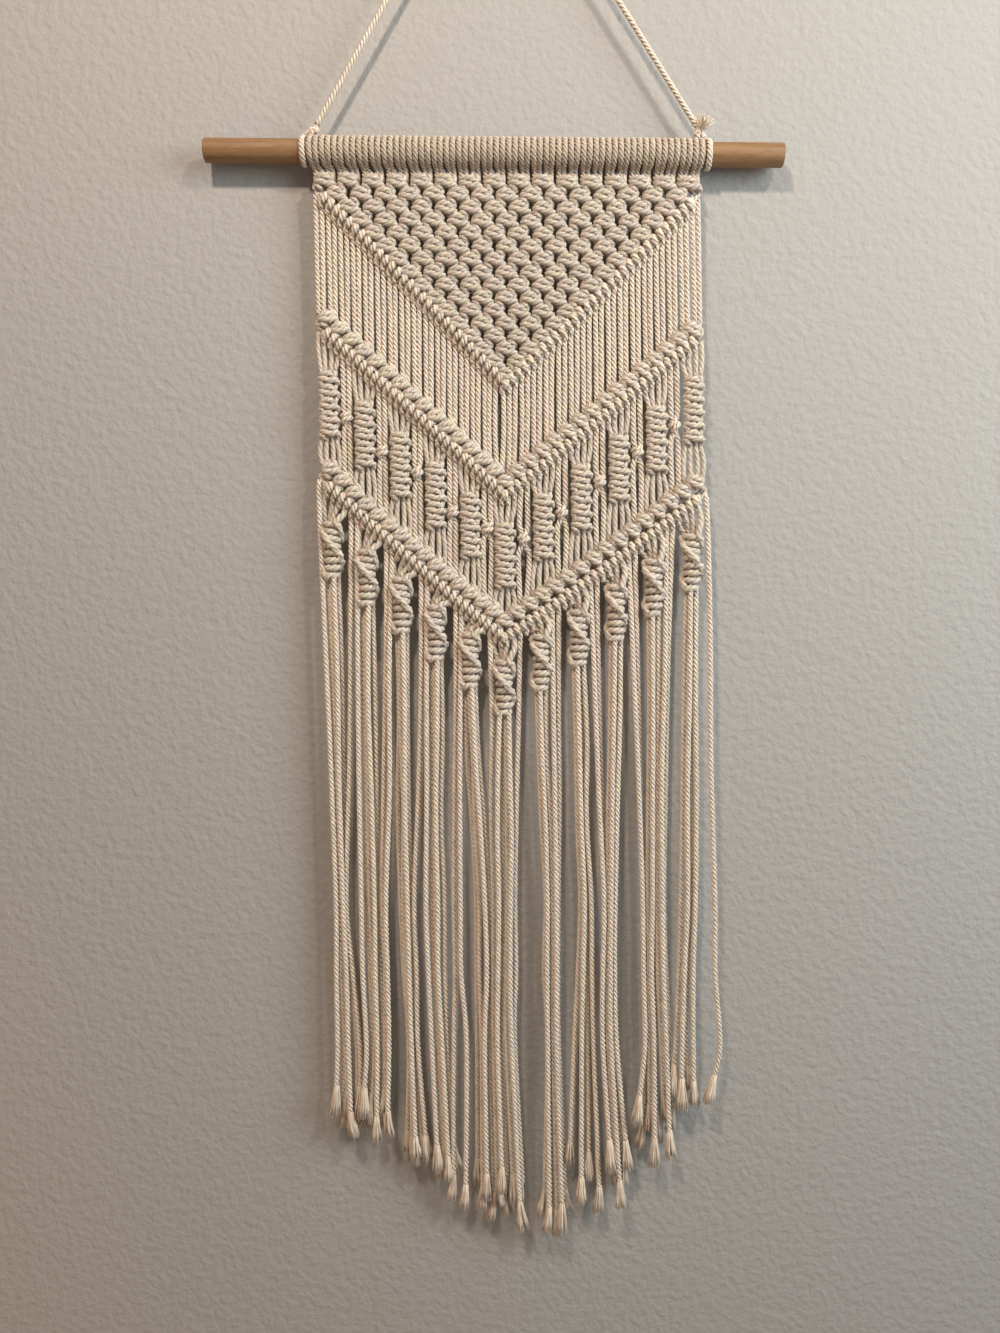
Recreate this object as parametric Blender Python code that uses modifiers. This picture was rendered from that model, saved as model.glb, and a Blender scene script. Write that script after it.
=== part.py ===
"""Macrame wall hanging knotted from 64 strands of 3 mm cotton cord on a wooden dowel.

Units are metres, +Z is up and the front faces -Y. The origin is the hanging point: the place
under the bend of the hanging cord where a nail or hook bears. The cord loads the dowel off
centre, so the dowel hangs with its right end a little lower while the strands hang plumb.

Strands are counted by slots 0 to 63 from the left. A level in the work is a line that falls
from both edges to a tip at the middle, and every knot, hitch and sinnet is placed by its slot
and by such a line.
"""

import math

import bpy
from mathutils import Vector
from mathutils.geometry import delaunay_2d_cdt

# Cord and dowel
CORD = 0.0030
GAP = 0.0003
ROD_LENGTH = 0.3020
ROD_RADIUS = 0.0060
ROD_X = -0.0027
ROD_Z = -0.1650
ROD_TILT = math.radians(1.01)
ROD_SIDES = 40
ROD_CHAMFER = 0.0006

# Heading: two wraps of cord round the dowel for each of 32 cords
HEADING_LEFT = -0.0998
HEADING_RIGHT = 0.1066
WRAPS = 64
WRAP_SIDES = 8
WRAP_CREST = 0.0077
WRAP_VALLEY = 0.0071
WRAP_INSIDE = ROD_RADIUS + GAP

# Strands: the left edge hangs straight, the middle and the right edge drift as the work grows
STRANDS = 64
MIDDLE_SLOT = (STRANDS - 1) / 2
LEFT_X = -0.0962
MIDDLE_X_TOP = 0.0038
MIDDLE_X_LOW = 0.0002
RIGHT_X_TOP = 0.1037
RIGHT_X_LOW = 0.1094
DRIFT_TOP_Z = -0.1850
DRIFT_LOW_Z = -0.4200
STRAND_HALF = 0.00125

# Levels: height over slot 0, at the middle and over slot 63
HITCH_1 = (-0.1848, -0.2861, -0.1898)
KNOTS_2 = (-0.2459, -0.3362, -0.2542)
HITCH_2 = (-0.2547, -0.3441, -0.2612)
KNOTS_3 = (-0.3240, -0.4072, -0.3337)
HITCH_3 = (-0.3320, -0.4168, -0.3425)
HITCH_HALF = 0.0038
KNOT_HALF = 0.0034

# Net of alternating square knots
NET_ROWS = 16
NET_FIRST_DROP = 0.0156
NET_ROW_PITCH = 0.00657
NET_TOP_DROP = 0.00805

# Thickness front to back
KNOT_DEPTH = 0.0075
HITCH_DEPTH = 0.0070
VALLEY_DEPTH = 0.0040
EDGE_DEPTH = 0.0034
STRAND_DEPTH = 0.0027

# Sinnets of square knots under level 2: slots 6k to 6k+3, counted from the middle one
COLUMNS = 11
MIDDLE_COLUMN = 5
COLUMN_SLOTS = 6
SINNET_SLOTS = 4
SINNET_TOP = -0.3573
SINNET_RISE_LEFT = 0.01606
SINNET_RISE_RIGHT = 0.0151
SINNET_HEIGHT = 0.0344
SINNET_HALF = 0.0058
SINNET_BARS = 10
BAR_CREST = 0.0034

# One small knot on each pair of strands between two sinnets: drop below the sinnet tops
PAIR_KNOT_DROPS = (0.0166, 0.0185, 0.0138, 0.0187, 0.0113, 0.0166, 0.0181, 0.0171, 0.0164, 0.0182)
PAIR_HALF = 0.00285
PAIR_SLIT = 0.0003
PAIR_KNOT_HALF = 0.0026

# Spirals of half knots under level 3, with the first slot of each
SPIRAL_SLOTS = (1, 7, 13, 19, 25, 30, 35, 41, 47, 53, 59)
SPIRAL_TOP = -0.4302
SPIRAL_RISE_LEFT = 0.0149
SPIRAL_RISE_RIGHT = 0.0132
SPIRAL_X_MIDDLE = -0.0001
SPIRAL_PITCH_LEFT = 0.01824
SPIRAL_PITCH_RIGHT = 0.0202
SPIRAL_HEIGHT = 0.0310
SPIRAL_WIDTH = 0.0112
SPIRAL_DEPTH = 0.0058
SPIRAL_TURN = math.radians(290)
SPIRAL_RINGS = 8

# Fringe: strands gather in clusters, by height MID_Z, LOW_Z and the cut ends.
# first slot, strands, x and width at MID_Z, x and width at LOW_Z, x and width of the ends, their heights
MID_Z = -0.5620
LOW_Z = -0.6430
CLUSTERS = (
    (0, 6, -0.0898, 0.0093, -0.0878, 0.0150, -0.0881, 0.0150, -0.6785, -0.6960),
    (6, 7, -0.0724, 0.0170, -0.0713, 0.0150, -0.0735, 0.0170, -0.6800, -0.6988),
    (13, 5, -0.0537, 0.0106, -0.0526, 0.0090, -0.0505, 0.0138, -0.7075, -0.7100),
    (18, 5, -0.0388, 0.0109, -0.0375, 0.0105, -0.0351, 0.0116, -0.7128, -0.7204),
    (23, 2, -0.0265, 0.0060, -0.0264, 0.0094, -0.0273, 0.0100, -0.7313, -0.7378),
    (25, 10, -0.0055, 0.0251, -0.0063, 0.0242, -0.0045, 0.0287, -0.7240, -0.7474),
    (35, 6, 0.0249, 0.0106, 0.0250, 0.0098, 0.0261, 0.0155, -0.7405, -0.7540),
    (41, 4, 0.0431, 0.0090, 0.0424, 0.0138, 0.0426, 0.0193, -0.7136, -0.7432),
    (45, 6, 0.0564, 0.0094, 0.0562, 0.0105, 0.0612, 0.0125, -0.7104, -0.7381),
    (51, 8, 0.0804, 0.0150, 0.0820, 0.0171, 0.0821, 0.0235, -0.6853, -0.7142),
    (59, 4, 0.1000, 0.0104, 0.0980, 0.0116, 0.0973, 0.0150, -0.6695, -0.6805),
    (63, 1, 0.1128, 0.0030, 0.1162, 0.0030, 0.1113, 0.0030, -0.6743, -0.6766),
)
PARTING_GAP = 0.0004
LAYER_DEPTHS = (-0.0030, 0.0030, 0.0)
FRINGE_RADIUS = 0.00155
FRINGE_SIDES = 3
FRAY_LENGTH = 0.0090
FRAY_RADIUS = 0.0019
BUNDLE_STEP = 0.0019
BUNDLE_DEPTH = 0.9

# Ties: a turn of cord round the dowel, a knot on top and a neck between them
PRESSED_RADIUS = 0.0008
TIE_RING_RADIUS = ROD_RADIUS + GAP + PRESSED_RADIUS + 0.0001
NECK_RADIUS = 0.0013
NECK_LIFT = 0.0016
TIE_KNOT_RADII = (0.0032, 0.0030, 0.0022)
LEFT_TIE_X = -0.1020
LEFT_KNOT = (-0.0963, 0.0, -0.1531)
RIGHT_TIE_X = 0.1087
RIGHT_KNOT = (0.1043, 0.0, -0.1566)
TUFT_LENGTH = 0.0090
TUFT_ROOT = 0.0009
TUFT_FLARE = 0.0022
TUFT_LEAN = math.radians(38)

# Hanging cord: up from the left knot, over the nail at the origin and down to the right knot
CORD_ROUTE = (
    (-0.0949, 0.0, -0.1505),
    (-0.0840, 0.0, -0.1326),
    (-0.0753, 0.0, -0.1181),
    (-0.0665, 0.0, -0.1036),
    (-0.0578, 0.0, -0.0891),
    (-0.0490, 0.0, -0.0745),
    (-0.0402, 0.0, -0.0599),
    (-0.0315, 0.0, -0.0453),
    (-0.0227, 0.0, -0.0307),
    (-0.0140, 0.0, -0.0162),
    (-0.0084, 0.0, -0.0068),
    (-0.0054, 0.0, -0.0018),
    (-0.0028, 0.0, 0.0007),
    (0.0003, 0.0, 0.0015),
    (0.0034, 0.0, 0.0007),
    (0.0060, 0.0, -0.0018),
    (0.0091, 0.0, -0.0066),
    (0.0149, 0.0, -0.0157),
    (0.0243, 0.0, -0.0303),
    (0.0337, 0.0, -0.0449),
    (0.0431, 0.0, -0.0596),
    (0.0525, 0.0, -0.0742),
    (0.0618, 0.0, -0.0888),
    (0.0712, 0.0, -0.1034),
    (0.0806, 0.0, -0.1180),
    (0.0899, 0.0, -0.1326),
    (0.1034, 0.0, -0.1537),
)
CORD_RINGS = 196
CORD_CREST = 0.0015
CORD_VALLEY = 0.00115
CORD_PLIES = 3
FRONT = Vector((0.0, -1.0, 0.0))

COTTON = (0.80, 0.70, 0.55)
WOOD = (0.56, 0.36, 0.17)


def rod_height(x):
    """Height of the dowel's axis at x."""
    return ROD_Z - math.tan(ROD_TILT) * (x - ROD_X)


def blend(start, end, share):
    return start + (end - start) * share


def slot_x(slot, z):
    """Sideways place of a slot at height z."""
    share = min(max((DRIFT_TOP_Z - z) / (DRIFT_TOP_Z - DRIFT_LOW_Z), 0.0), 1.0)
    middle = blend(MIDDLE_X_TOP, MIDDLE_X_LOW, share)
    right = blend(RIGHT_X_TOP, RIGHT_X_LOW, share)
    if slot < MIDDLE_SLOT:
        return blend(LEFT_X, middle, slot / MIDDLE_SLOT)
    return blend(middle, right, (slot - MIDDLE_SLOT) / MIDDLE_SLOT)


def level(line, slot):
    """Height of a V-shaped level over a slot."""
    left, tip, right = line
    if slot < MIDDLE_SLOT:
        return blend(left, tip, slot / MIDDLE_SLOT)
    return blend(tip, right, (slot - MIDDLE_SLOT) / MIDDLE_SLOT)


def rise(column, left, right):
    """Height of a column over the middle one."""
    steps = column - MIDDLE_COLUMN
    return right * steps if steps > 0 else -left * steps


def parting(slot):
    """Height of the line along which the fringe's strip is parted from the panel."""
    return (level(KNOTS_3, slot) + level(HITCH_3, slot)) / 2


def hitches_3(slot):
    """Height of the last row of hitches."""
    return level(HITCH_3, slot)


def material(name, colour, roughness):
    made = bpy.data.materials.new(name)
    made.use_nodes = True
    shader = made.node_tree.nodes["Principled BSDF"]
    shader.inputs["Base Color"].default_value = (*colour, 1.0)
    shader.inputs["Roughness"].default_value = roughness
    shader.inputs["Metallic"].default_value = 0.0
    return made


def add_mesh(name, points, faces, collection):
    mesh = bpy.data.meshes.new(name)
    mesh.from_pydata(points, [], faces)
    made = bpy.data.objects.new(name, mesh)
    collection.objects.link(made)
    return made


class Sheet:
    """A flat panel in the XZ plane: points that each hold a depth, an outline and slits."""

    def __init__(self):
        self.points = []
        self.depths = []
        self.creases = []
        self.outline = []
        self.slits = []

    def point(self, x, z, depth):
        self.points.append(Vector((x, z)))
        self.depths.append(depth)
        return len(self.points) - 1

    def crease(self, indices):
        self.creases += list(zip(indices, indices[1:]))

    def slit(self, corners, depth=STRAND_DEPTH):
        indices = [self.point(x, z, depth) for x, z in corners]
        self.slits.append(indices)
        self.crease([*indices, indices[0]])

    def edge(self, corners, depth):
        self.outline = [self.point(x, z, depth) for x, z in corners]
        self.crease([*self.outline, self.outline[0]])

    def holds(self, loop, x, z):
        """Whether a point is inside a loop, by counting the sides to its right."""
        inside = False
        for first, second in zip(loop, [*loop[1:], loop[0]]):
            a = self.points[first]
            b = self.points[second]
            if (a.y > z) != (b.y > z) and x < a.x + (z - a.y) * (b.x - a.x) / (b.y - a.y):
                inside = not inside
        return inside

    def build(self, name, depth, collection):
        """Triangulate the outline round the slits and thicken each point to its own depth."""
        spots, _, faces, origins, _, _ = delaunay_2d_cdt(self.points, self.creases, [], 0, 1e-7)
        boxes = []
        for loop in self.slits:
            xs = [self.points[index].x for index in loop]
            zs = [self.points[index].y for index in loop]
            boxes.append((min(xs), max(xs), min(zs), max(zs), loop))
        kept = []
        for face in faces:
            x = sum(spots[corner].x for corner in face) / 3
            z = sum(spots[corner].y for corner in face) / 3
            if not self.holds(self.outline, x, z):
                continue
            near = [box for box in boxes if box[0] < x < box[1] and box[2] < z < box[3]]
            if not any(self.holds(box[4], x, z) for box in near):
                kept.append(face)
        made = add_mesh(name, [(spot.x, 0.0, spot.y) for spot in spots], kept, collection)
        group = made.vertex_groups.new(name="depth")
        for index, origin in enumerate(origins):
            own = max(self.depths[number] for number in origin) if origin else STRAND_DEPTH
            group.add([index], own / depth, "REPLACE")
        thick = made.modifiers.new("thickness", "SOLIDIFY")
        thick.thickness = depth
        thick.offset = 0.0
        thick.use_even_offset = False
        thick.vertex_group = group.name
        return made


def loft(rings, points, faces):
    """Add a closed solid through rings of equal size to a list of points and faces."""
    sides = len(rings[0])
    first = len(points)
    for ring in rings:
        points += ring
    for step in range(len(rings) - 1):
        low = first + step * sides
        for side in range(sides):
            after = (side + 1) % sides
            faces.append((low + side, low + after, low + sides + after, low + sides + side))
    faces.append(tuple(first + side for side in reversed(range(sides))))
    faces.append(tuple(first + (len(rings) - 1) * sides + side for side in range(sides)))


def baked(source, collection):
    """A plain mesh object of what a source object looks like with its modifiers."""
    graph = bpy.context.evaluated_depsgraph_get()
    mesh = bpy.data.meshes.new_from_object(source.evaluated_get(graph))
    made = bpy.data.objects.new(source.name + "_mesh", mesh)
    collection.objects.link(made)
    made.matrix_world = source.matrix_world
    bpy.data.objects.remove(source)
    return made


def join(target, other):
    """Fuse another object into the target."""
    union = target.modifiers.new("with_" + other.name, "BOOLEAN")
    union.operation = "UNION"
    union.solver = "EXACT"
    union.use_self = True
    union.object = other
    other.hide_render = True
    other.display_type = "WIRE"


def build_dowel(parts, wood):
    bpy.ops.mesh.primitive_cylinder_add(vertices=ROD_SIDES, radius=ROD_RADIUS, depth=ROD_LENGTH)
    rod = bpy.context.object
    rod.name = "dowel"
    rod.rotation_euler = (0.0, math.pi / 2 + ROD_TILT, 0.0)
    rod.location = (ROD_X, 0.0, ROD_Z)
    chamfer = rod.modifiers.new("chamfer", "BEVEL")
    chamfer.width = ROD_CHAMFER
    chamfer.segments = 1
    chamfer.angle_limit = math.radians(60)
    chamfer.limit_method = "ANGLE"
    rod.data.shade_smooth()
    rod.data.set_sharp_from_angle(angle=math.radians(40))
    move_to(rod, parts)
    rod.data.materials.append(wood)


def move_to(thing, collection):
    for holder in thing.users_collection:
        holder.objects.unlink(thing)
    collection.objects.link(thing)


def build_heading(parts, cotton):
    """Turned sleeve of wraps round the dowel: a scalloped outside and a plain inside."""
    length = (HEADING_RIGHT - HEADING_LEFT) / math.cos(ROD_TILT)
    to_corner = 1 / math.cos(math.pi / WRAP_SIDES)
    profile = []
    for step in range(2 * WRAPS + 1):
        radius = WRAP_CREST if step % 2 else WRAP_VALLEY
        profile.append((radius * to_corner, 0.0, length / 2 - length * step / (2 * WRAPS)))
    inside = WRAP_INSIDE * to_corner
    profile.append((inside, 0.0, -length / 2))
    profile.append((inside, 0.0, length / 2))
    half_side = math.pi / WRAP_SIDES
    turned = [(x * math.cos(half_side), x * math.sin(half_side), z) for x, _, z in profile]
    mesh = bpy.data.meshes.new("heading")
    count = len(turned)
    mesh.from_pydata(turned, [(index, (index + 1) % count) for index in range(count)], [])
    heading = bpy.data.objects.new("heading", mesh)
    parts.objects.link(heading)
    heading.rotation_euler = (0.0, math.pi / 2 + ROD_TILT, 0.0)
    middle = (HEADING_LEFT + HEADING_RIGHT) / 2
    heading.location = (middle, 0.0, rod_height(middle))
    turn = heading.modifiers.new("turn", "SCREW")
    turn.axis = "Z"
    turn.steps = WRAP_SIDES
    turn.render_steps = WRAP_SIDES
    turn.use_merge_vertices = True
    turn.merge_threshold = 0.00001
    heading.data.materials.append(cotton)


def add_net(panel):
    """Raised knots of the net, parted by troughs that run slantwise both ways."""
    above = []
    for row in range(NET_ROWS):
        valleys = []
        for number in range(NET_ROWS - row):
            slot = 1.5 + 2 * row + 4 * number
            drop = NET_FIRST_DROP + NET_ROW_PITCH * row
            x = slot_x(slot, ROD_Z - drop)
            panel.point(x, rod_height(x) - drop, KNOT_DEPTH)
            if number < NET_ROWS - row - 1:
                x = slot_x(slot + 2, ROD_Z - drop)
                valleys.append(panel.point(x, rod_height(x) - drop, VALLEY_DEPTH))
        for number, valley in enumerate(valleys):
            if above:
                panel.crease([above[number], valley, above[number + 1]])
        above = valleys


def add_hitches(sheet, line):
    """Ridged bar of double half hitches: alternate crests and valleys along a level."""
    for slot in range(STRANDS):
        crest = slot % 2 == (0 if slot < MIDDLE_SLOT else 1)
        z = level(line, slot)
        sheet.point(slot_x(slot, z), z, HITCH_DEPTH if crest else VALLEY_DEPTH)


def add_knot_row(sheet, line):
    """Square knots stepping down a level, two slots apart."""
    for number in range((STRANDS - 2) // 2):
        slot = 1.5 + 2 * number
        z = level(line, slot)
        sheet.point(slot_x(slot, z), z, KNOT_DEPTH)
        if number < (STRANDS - 2) // 2 - 1:
            z = level(line, slot + 1)
            sheet.point(slot_x(slot + 1, z), z, VALLEY_DEPTH)


def strand_edges(slot, line, shift):
    """The two corners of the gap between a slot and the next one, on a shifted level."""
    left = level(line, slot + 0.4) + shift
    right = level(line, slot + 0.6) + shift
    return (
        (slot_x(slot, left) + STRAND_HALF, left),
        (slot_x(slot + 1, right) - STRAND_HALF, right),
    )


def add_floats(panel):
    """Slits between the strands that hang free between levels 1 and 2."""
    for slot in range(STRANDS - 1):
        upper = strand_edges(slot, HITCH_1, -HITCH_HALF)
        lower = strand_edges(slot, KNOTS_2, KNOT_HALF)
        panel.slit([*upper, *reversed(lower)])


def sinnet_box(column):
    """Middle, top and bottom of a sinnet."""
    top = SINNET_TOP + rise(column, SINNET_RISE_LEFT, SINNET_RISE_RIGHT)
    bottom = top - SINNET_HEIGHT
    slot = COLUMN_SLOTS * column + (SINNET_SLOTS - 1) / 2
    return slot_x(slot, (top + bottom) / 2), top, bottom


def add_sinnet(panel, column):
    """Ten ridged bars, and the slits between the four strands above and below them."""
    x, top, bottom = sinnet_box(column)
    pitch = SINNET_HEIGHT / SINNET_BARS
    for bar in range(SINNET_BARS):
        crest = top - pitch * (bar + 0.5)
        panel.point(x - BAR_CREST, crest, KNOT_DEPTH)
        panel.point(x + BAR_CREST, crest, KNOT_DEPTH)
        if bar:
            panel.point(x - BAR_CREST, top - pitch * bar, VALLEY_DEPTH)
            panel.point(x + BAR_CREST, top - pitch * bar, VALLEY_DEPTH)
    for gap in range(SINNET_SLOTS - 1):
        slot = COLUMN_SLOTS * column + gap
        meet = x + (gap - 1) * 0.6 * SINNET_HALF
        upper = strand_edges(slot, HITCH_2, -HITCH_HALF)
        panel.slit([*upper, (meet, top + pitch * 0.3)])
        lower = strand_edges(slot, KNOTS_3, KNOT_HALF)
        panel.slit([(meet, bottom - pitch * 0.3), *reversed(lower)])


def add_pair(panel, number):
    """A pair of strands with one small knot, and the gaps to the sinnets on both sides."""
    slot = COLUMN_SLOTS * number + SINNET_SLOTS
    left_x, left_top, left_bottom = sinnet_box(number)
    right_x, right_top, right_bottom = sinnet_box(number + 1)
    knot_z = (left_top + right_top) / 2 - PAIR_KNOT_DROPS[number]
    x = slot_x(slot + 0.5, knot_z)
    panel.point(x, knot_z, KNOT_DEPTH)
    for line, shift, ends in ((HITCH_2, -HITCH_HALF, 1), (KNOTS_3, KNOT_HALF, -1)):
        z = level(line, slot + 0.5) + shift
        near = knot_z + ends * PAIR_KNOT_HALF
        corners = [(x - PAIR_SLIT, z), (x + PAIR_SLIT, z), (x + PAIR_SLIT, near), (x - PAIR_SLIT, near)]
        panel.slit(corners)
    upper = strand_edges(slot - 1, HITCH_2, -HITCH_HALF)
    lower = strand_edges(slot - 1, KNOTS_3, KNOT_HALF)
    side = left_x + SINNET_HALF
    panel.slit([
        upper[0], (x - PAIR_HALF, upper[1][1]), (x - PAIR_HALF, lower[1][1]),
        lower[0], (side, left_bottom), (side, left_top),
    ])
    upper = strand_edges(slot + 1, HITCH_2, -HITCH_HALF)
    lower = strand_edges(slot + 1, KNOTS_3, KNOT_HALF)
    side = right_x - SINNET_HALF
    panel.slit([
        (x + PAIR_HALF, upper[0][1]), upper[1], (side, right_top),
        (side, right_bottom), lower[1], (x + PAIR_HALF, lower[0][1]),
    ])


def side_edge(side):
    """Points down one side of the panel, from the heading to the parting."""
    slot, column = (0, 0) if side < 0 else (STRANDS - 1, COLUMNS - 1)
    x, top, bottom = sinnet_box(column)
    points = []
    for line, shift, reach in (
        (HITCH_1, 0.0, STRAND_HALF + 0.0006),
        (HITCH_1, -HITCH_HALF, STRAND_HALF),
        (KNOTS_2, KNOT_HALF, STRAND_HALF),
        (KNOTS_2, 0.0, STRAND_HALF + 0.0004),
        (HITCH_2, 0.0, STRAND_HALF + 0.0004),
        (HITCH_2, -HITCH_HALF, STRAND_HALF),
    ):
        z = level(line, slot) + shift
        points.append((slot_x(slot, z) + side * reach, z))
    points.append((x + side * SINNET_HALF, top))
    points.append((x + side * SINNET_HALF, bottom))
    z = level(KNOTS_3, slot) + KNOT_HALF
    points.append((slot_x(slot, z) + side * STRAND_HALF, z))
    return points


def long_edge(height, shift):
    """Points from left to right along a level: two ends, the tip and every second slot between."""
    inner = [2.5 + 2 * number for number in range(STRANDS // 2 - 2)]
    points = []
    for slot in sorted([0, *inner, MIDDLE_SLOT, STRANDS - 1]):
        reach = STRAND_HALF * ((slot == STRANDS - 1) - (slot == 0))
        z = height(slot) + shift
        points.append((slot_x(slot, z) + reach, z))
    return points


def build_panel(parts, cotton):
    panel = Sheet()
    corners = []
    for slot, side in ((0, -1), (STRANDS - 1, 1)):
        x = slot_x(slot, ROD_Z) + side * STRAND_HALF
        corners.append((x, rod_height(x) - NET_TOP_DROP))
    left = [corners[0], *side_edge(-1)]
    right = [corners[1], *side_edge(1)]
    panel.edge([*left, *long_edge(parting, PARTING_GAP / 2), *reversed(right)], EDGE_DEPTH)
    add_net(panel)
    add_hitches(panel, HITCH_1)
    add_floats(panel)
    add_knot_row(panel, KNOTS_2)
    add_hitches(panel, HITCH_2)
    for column in range(COLUMNS):
        add_sinnet(panel, column)
    for number in range(COLUMNS - 1):
        add_pair(panel, number)
    add_knot_row(panel, KNOTS_3)
    made = panel.build("panel", KNOT_DEPTH, parts)
    made.data.materials.append(cotton)


def spiral_axis(number):
    """Sideways place and top of a spiral."""
    steps = number - MIDDLE_COLUMN
    pitch = SPIRAL_PITCH_RIGHT if steps > 0 else SPIRAL_PITCH_LEFT
    return SPIRAL_X_MIDDLE + pitch * steps, SPIRAL_TOP + rise(number, SPIRAL_RISE_LEFT, SPIRAL_RISE_RIGHT)


def add_spiral(number, points, faces):
    """A flat bar of half knots that turns as it goes down."""
    x, top = spiral_axis(number)
    rings = []
    for step in range(SPIRAL_RINGS):
        share = step / (SPIRAL_RINGS - 1)
        turn = SPIRAL_TURN * share
        taper = 0.62 if step == SPIRAL_RINGS - 1 else 1.0
        ridge = 1.0 if step % 2 else 0.88
        half_width = SPIRAL_WIDTH / 2 * taper * ridge
        half_depth = SPIRAL_DEPTH / 2 * ridge
        ring = []
        for u, v in ((-1, -1), (1, -1), (1, 1), (-1, 1)):
            across = Vector((u * half_width, v * half_depth))
            ring.append((
                x + across.x * math.cos(turn) - across.y * math.sin(turn),
                across.x * math.sin(turn) + across.y * math.cos(turn),
                top - SPIRAL_HEIGHT * share,
            ))
        rings.append(ring[::-1])
    loft(rings, points, faces)


def strand_ring(x, y, z, radius):
    """A three-sided section of a strand with one side to the front."""
    ring = []
    for side in range(FRINGE_SIDES):
        angle = math.pi / 2 + math.tau * side / FRINGE_SIDES
        ring.append((x + radius * math.cos(angle), y + radius * math.sin(angle), z))
    return ring[::-1]


def layer_depth(slot):
    return LAYER_DEPTHS[slot % len(LAYER_DEPTHS)]


def strand_starts():
    """Where each strand of the fringe leaves the strip or the foot of its spiral."""
    starts = {}
    for slot in range(STRANDS):
        z = level(HITCH_3, slot) - HITCH_HALF / 2
        starts[slot] = (slot_x(slot, z), 0.0, z)
    for number, first in enumerate(SPIRAL_SLOTS):
        x, top = spiral_axis(number)
        for strand in range(SINNET_SLOTS):
            across = BUNDLE_STEP * (strand - 1.5)
            deep = BUNDLE_DEPTH * layer_depth(first + strand)
            starts[first + strand] = (x + across, deep, top - SPIRAL_HEIGHT + 0.0030)
    return starts


def add_strands(points, faces):
    """The 64 free strands, gathered in clusters and spread over three layers front to back."""
    starts = strand_starts()
    for first, count, mid_x, mid_w, low_x, low_w, end_x, end_w, end_high, end_low in CLUSTERS:
        for strand in range(count):
            share = strand / (count - 1) - 0.5 if count > 1 else 0.0
            layer = layer_depth(first + strand)
            end_z = blend(end_high, end_low, (strand * 0.618) % 1.0)
            x, y, z = starts[first + strand]
            radius = FRINGE_RADIUS
            low = low_x + (low_w - CORD) * share
            end = end_x + (end_w - CORD) * share
            neck = blend(end, low, FRAY_LENGTH / (LOW_Z - end_z))
            rings = [
                strand_ring(x, y, z, radius),
                strand_ring(mid_x + (mid_w - CORD) * share, layer, MID_Z, radius),
                strand_ring(low, layer, LOW_Z, radius),
                strand_ring(neck, layer, end_z + FRAY_LENGTH, radius),
                strand_ring(end, layer, end_z, FRAY_RADIUS),
            ]
            loft(rings, points, faces)


def add_fans(points, faces):
    """The four strands that run from the strip into each spiral."""
    for number, first in enumerate(SPIRAL_SLOTS):
        x, top = spiral_axis(number)
        for strand in range(SINNET_SLOTS):
            z = level(HITCH_3, first + strand) - HITCH_HALF / 2
            meet = x + (strand - 1.5) * 0.0028
            start = strand_ring(slot_x(first + strand, z), 0.0, z, FRINGE_RADIUS)
            loft([start, strand_ring(meet, 0.0, top - 0.0020, FRINGE_RADIUS * 0.8)], points, faces)


def build_fringe(parts, cutters, cotton):
    """Strip of hitches, spirals and free strands, fused."""
    strip = Sheet()
    upper = long_edge(parting, -PARTING_GAP / 2)
    lower = long_edge(hitches_3, -HITCH_HALF)
    strip.edge([*upper, *reversed(lower)], EDGE_DEPTH)
    add_hitches(strip, HITCH_3)
    fringe = strip.build("fringe", HITCH_DEPTH, parts)
    for name, adders in (("spirals", (add_spirals, )), ("strands", (add_fans, add_strands))):
        points = []
        faces = []
        for adder in adders:
            adder(points, faces)
        join(fringe, add_mesh(name, points, faces, cutters))
    fringe.data.materials.append(cotton)


def add_spirals(points, faces):
    for number in range(COLUMNS):
        add_spiral(number, points, faces)


def rod_between(name, start, end, start_radius, end_radius, collection, sides=8):
    """A cone or cylinder between two points."""
    start = Vector(start)
    end = Vector(end)
    span = end - start
    bpy.ops.mesh.primitive_cone_add(
        vertices=sides, radius1=start_radius, radius2=end_radius, depth=span.length,
        location=(start + end) / 2, rotation=span.to_track_quat("Z", "Y").to_euler(),
    )
    made = bpy.context.object
    made.name = name
    move_to(made, collection)
    return made


def build_tie(name, ring_x, knot, parts, cutters, cotton, tuft):
    """A turn of cord round the dowel that ends in a knot on top of it."""
    ring_z = rod_height(ring_x)
    bpy.ops.mesh.primitive_torus_add(
        major_segments=20, minor_segments=8, major_radius=TIE_RING_RADIUS, minor_radius=PRESSED_RADIUS,
        location=(ring_x, 0.0, ring_z), rotation=(0.0, math.pi / 2 + ROD_TILT, 0.0),
    )
    tie = bpy.context.object
    tie.name = name
    tie.scale.z = CORD / 2 / PRESSED_RADIUS
    move_to(tie, parts)
    foot = (ring_x, 0.0, ring_z + TIE_RING_RADIUS + NECK_LIFT)
    neck = rod_between(name + "_neck", foot, knot, NECK_RADIUS, NECK_RADIUS, cutters)
    join(tie, neck)
    bpy.ops.mesh.primitive_uv_sphere_add(segments=10, ring_count=7, location=knot)
    ball = bpy.context.object
    ball.name = name + "_knot"
    ball.scale = TIE_KNOT_RADII
    move_to(ball, cutters)
    join(tie, ball)
    if tuft:
        tip = Vector(knot) + TUFT_LENGTH * Vector((math.sin(TUFT_LEAN), 0.0, math.cos(TUFT_LEAN)))
        join(tie, rod_between(name + "_tuft", knot, tip, TUFT_ROOT, TUFT_FLARE, cutters))
    tie.data.materials.append(cotton)


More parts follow.
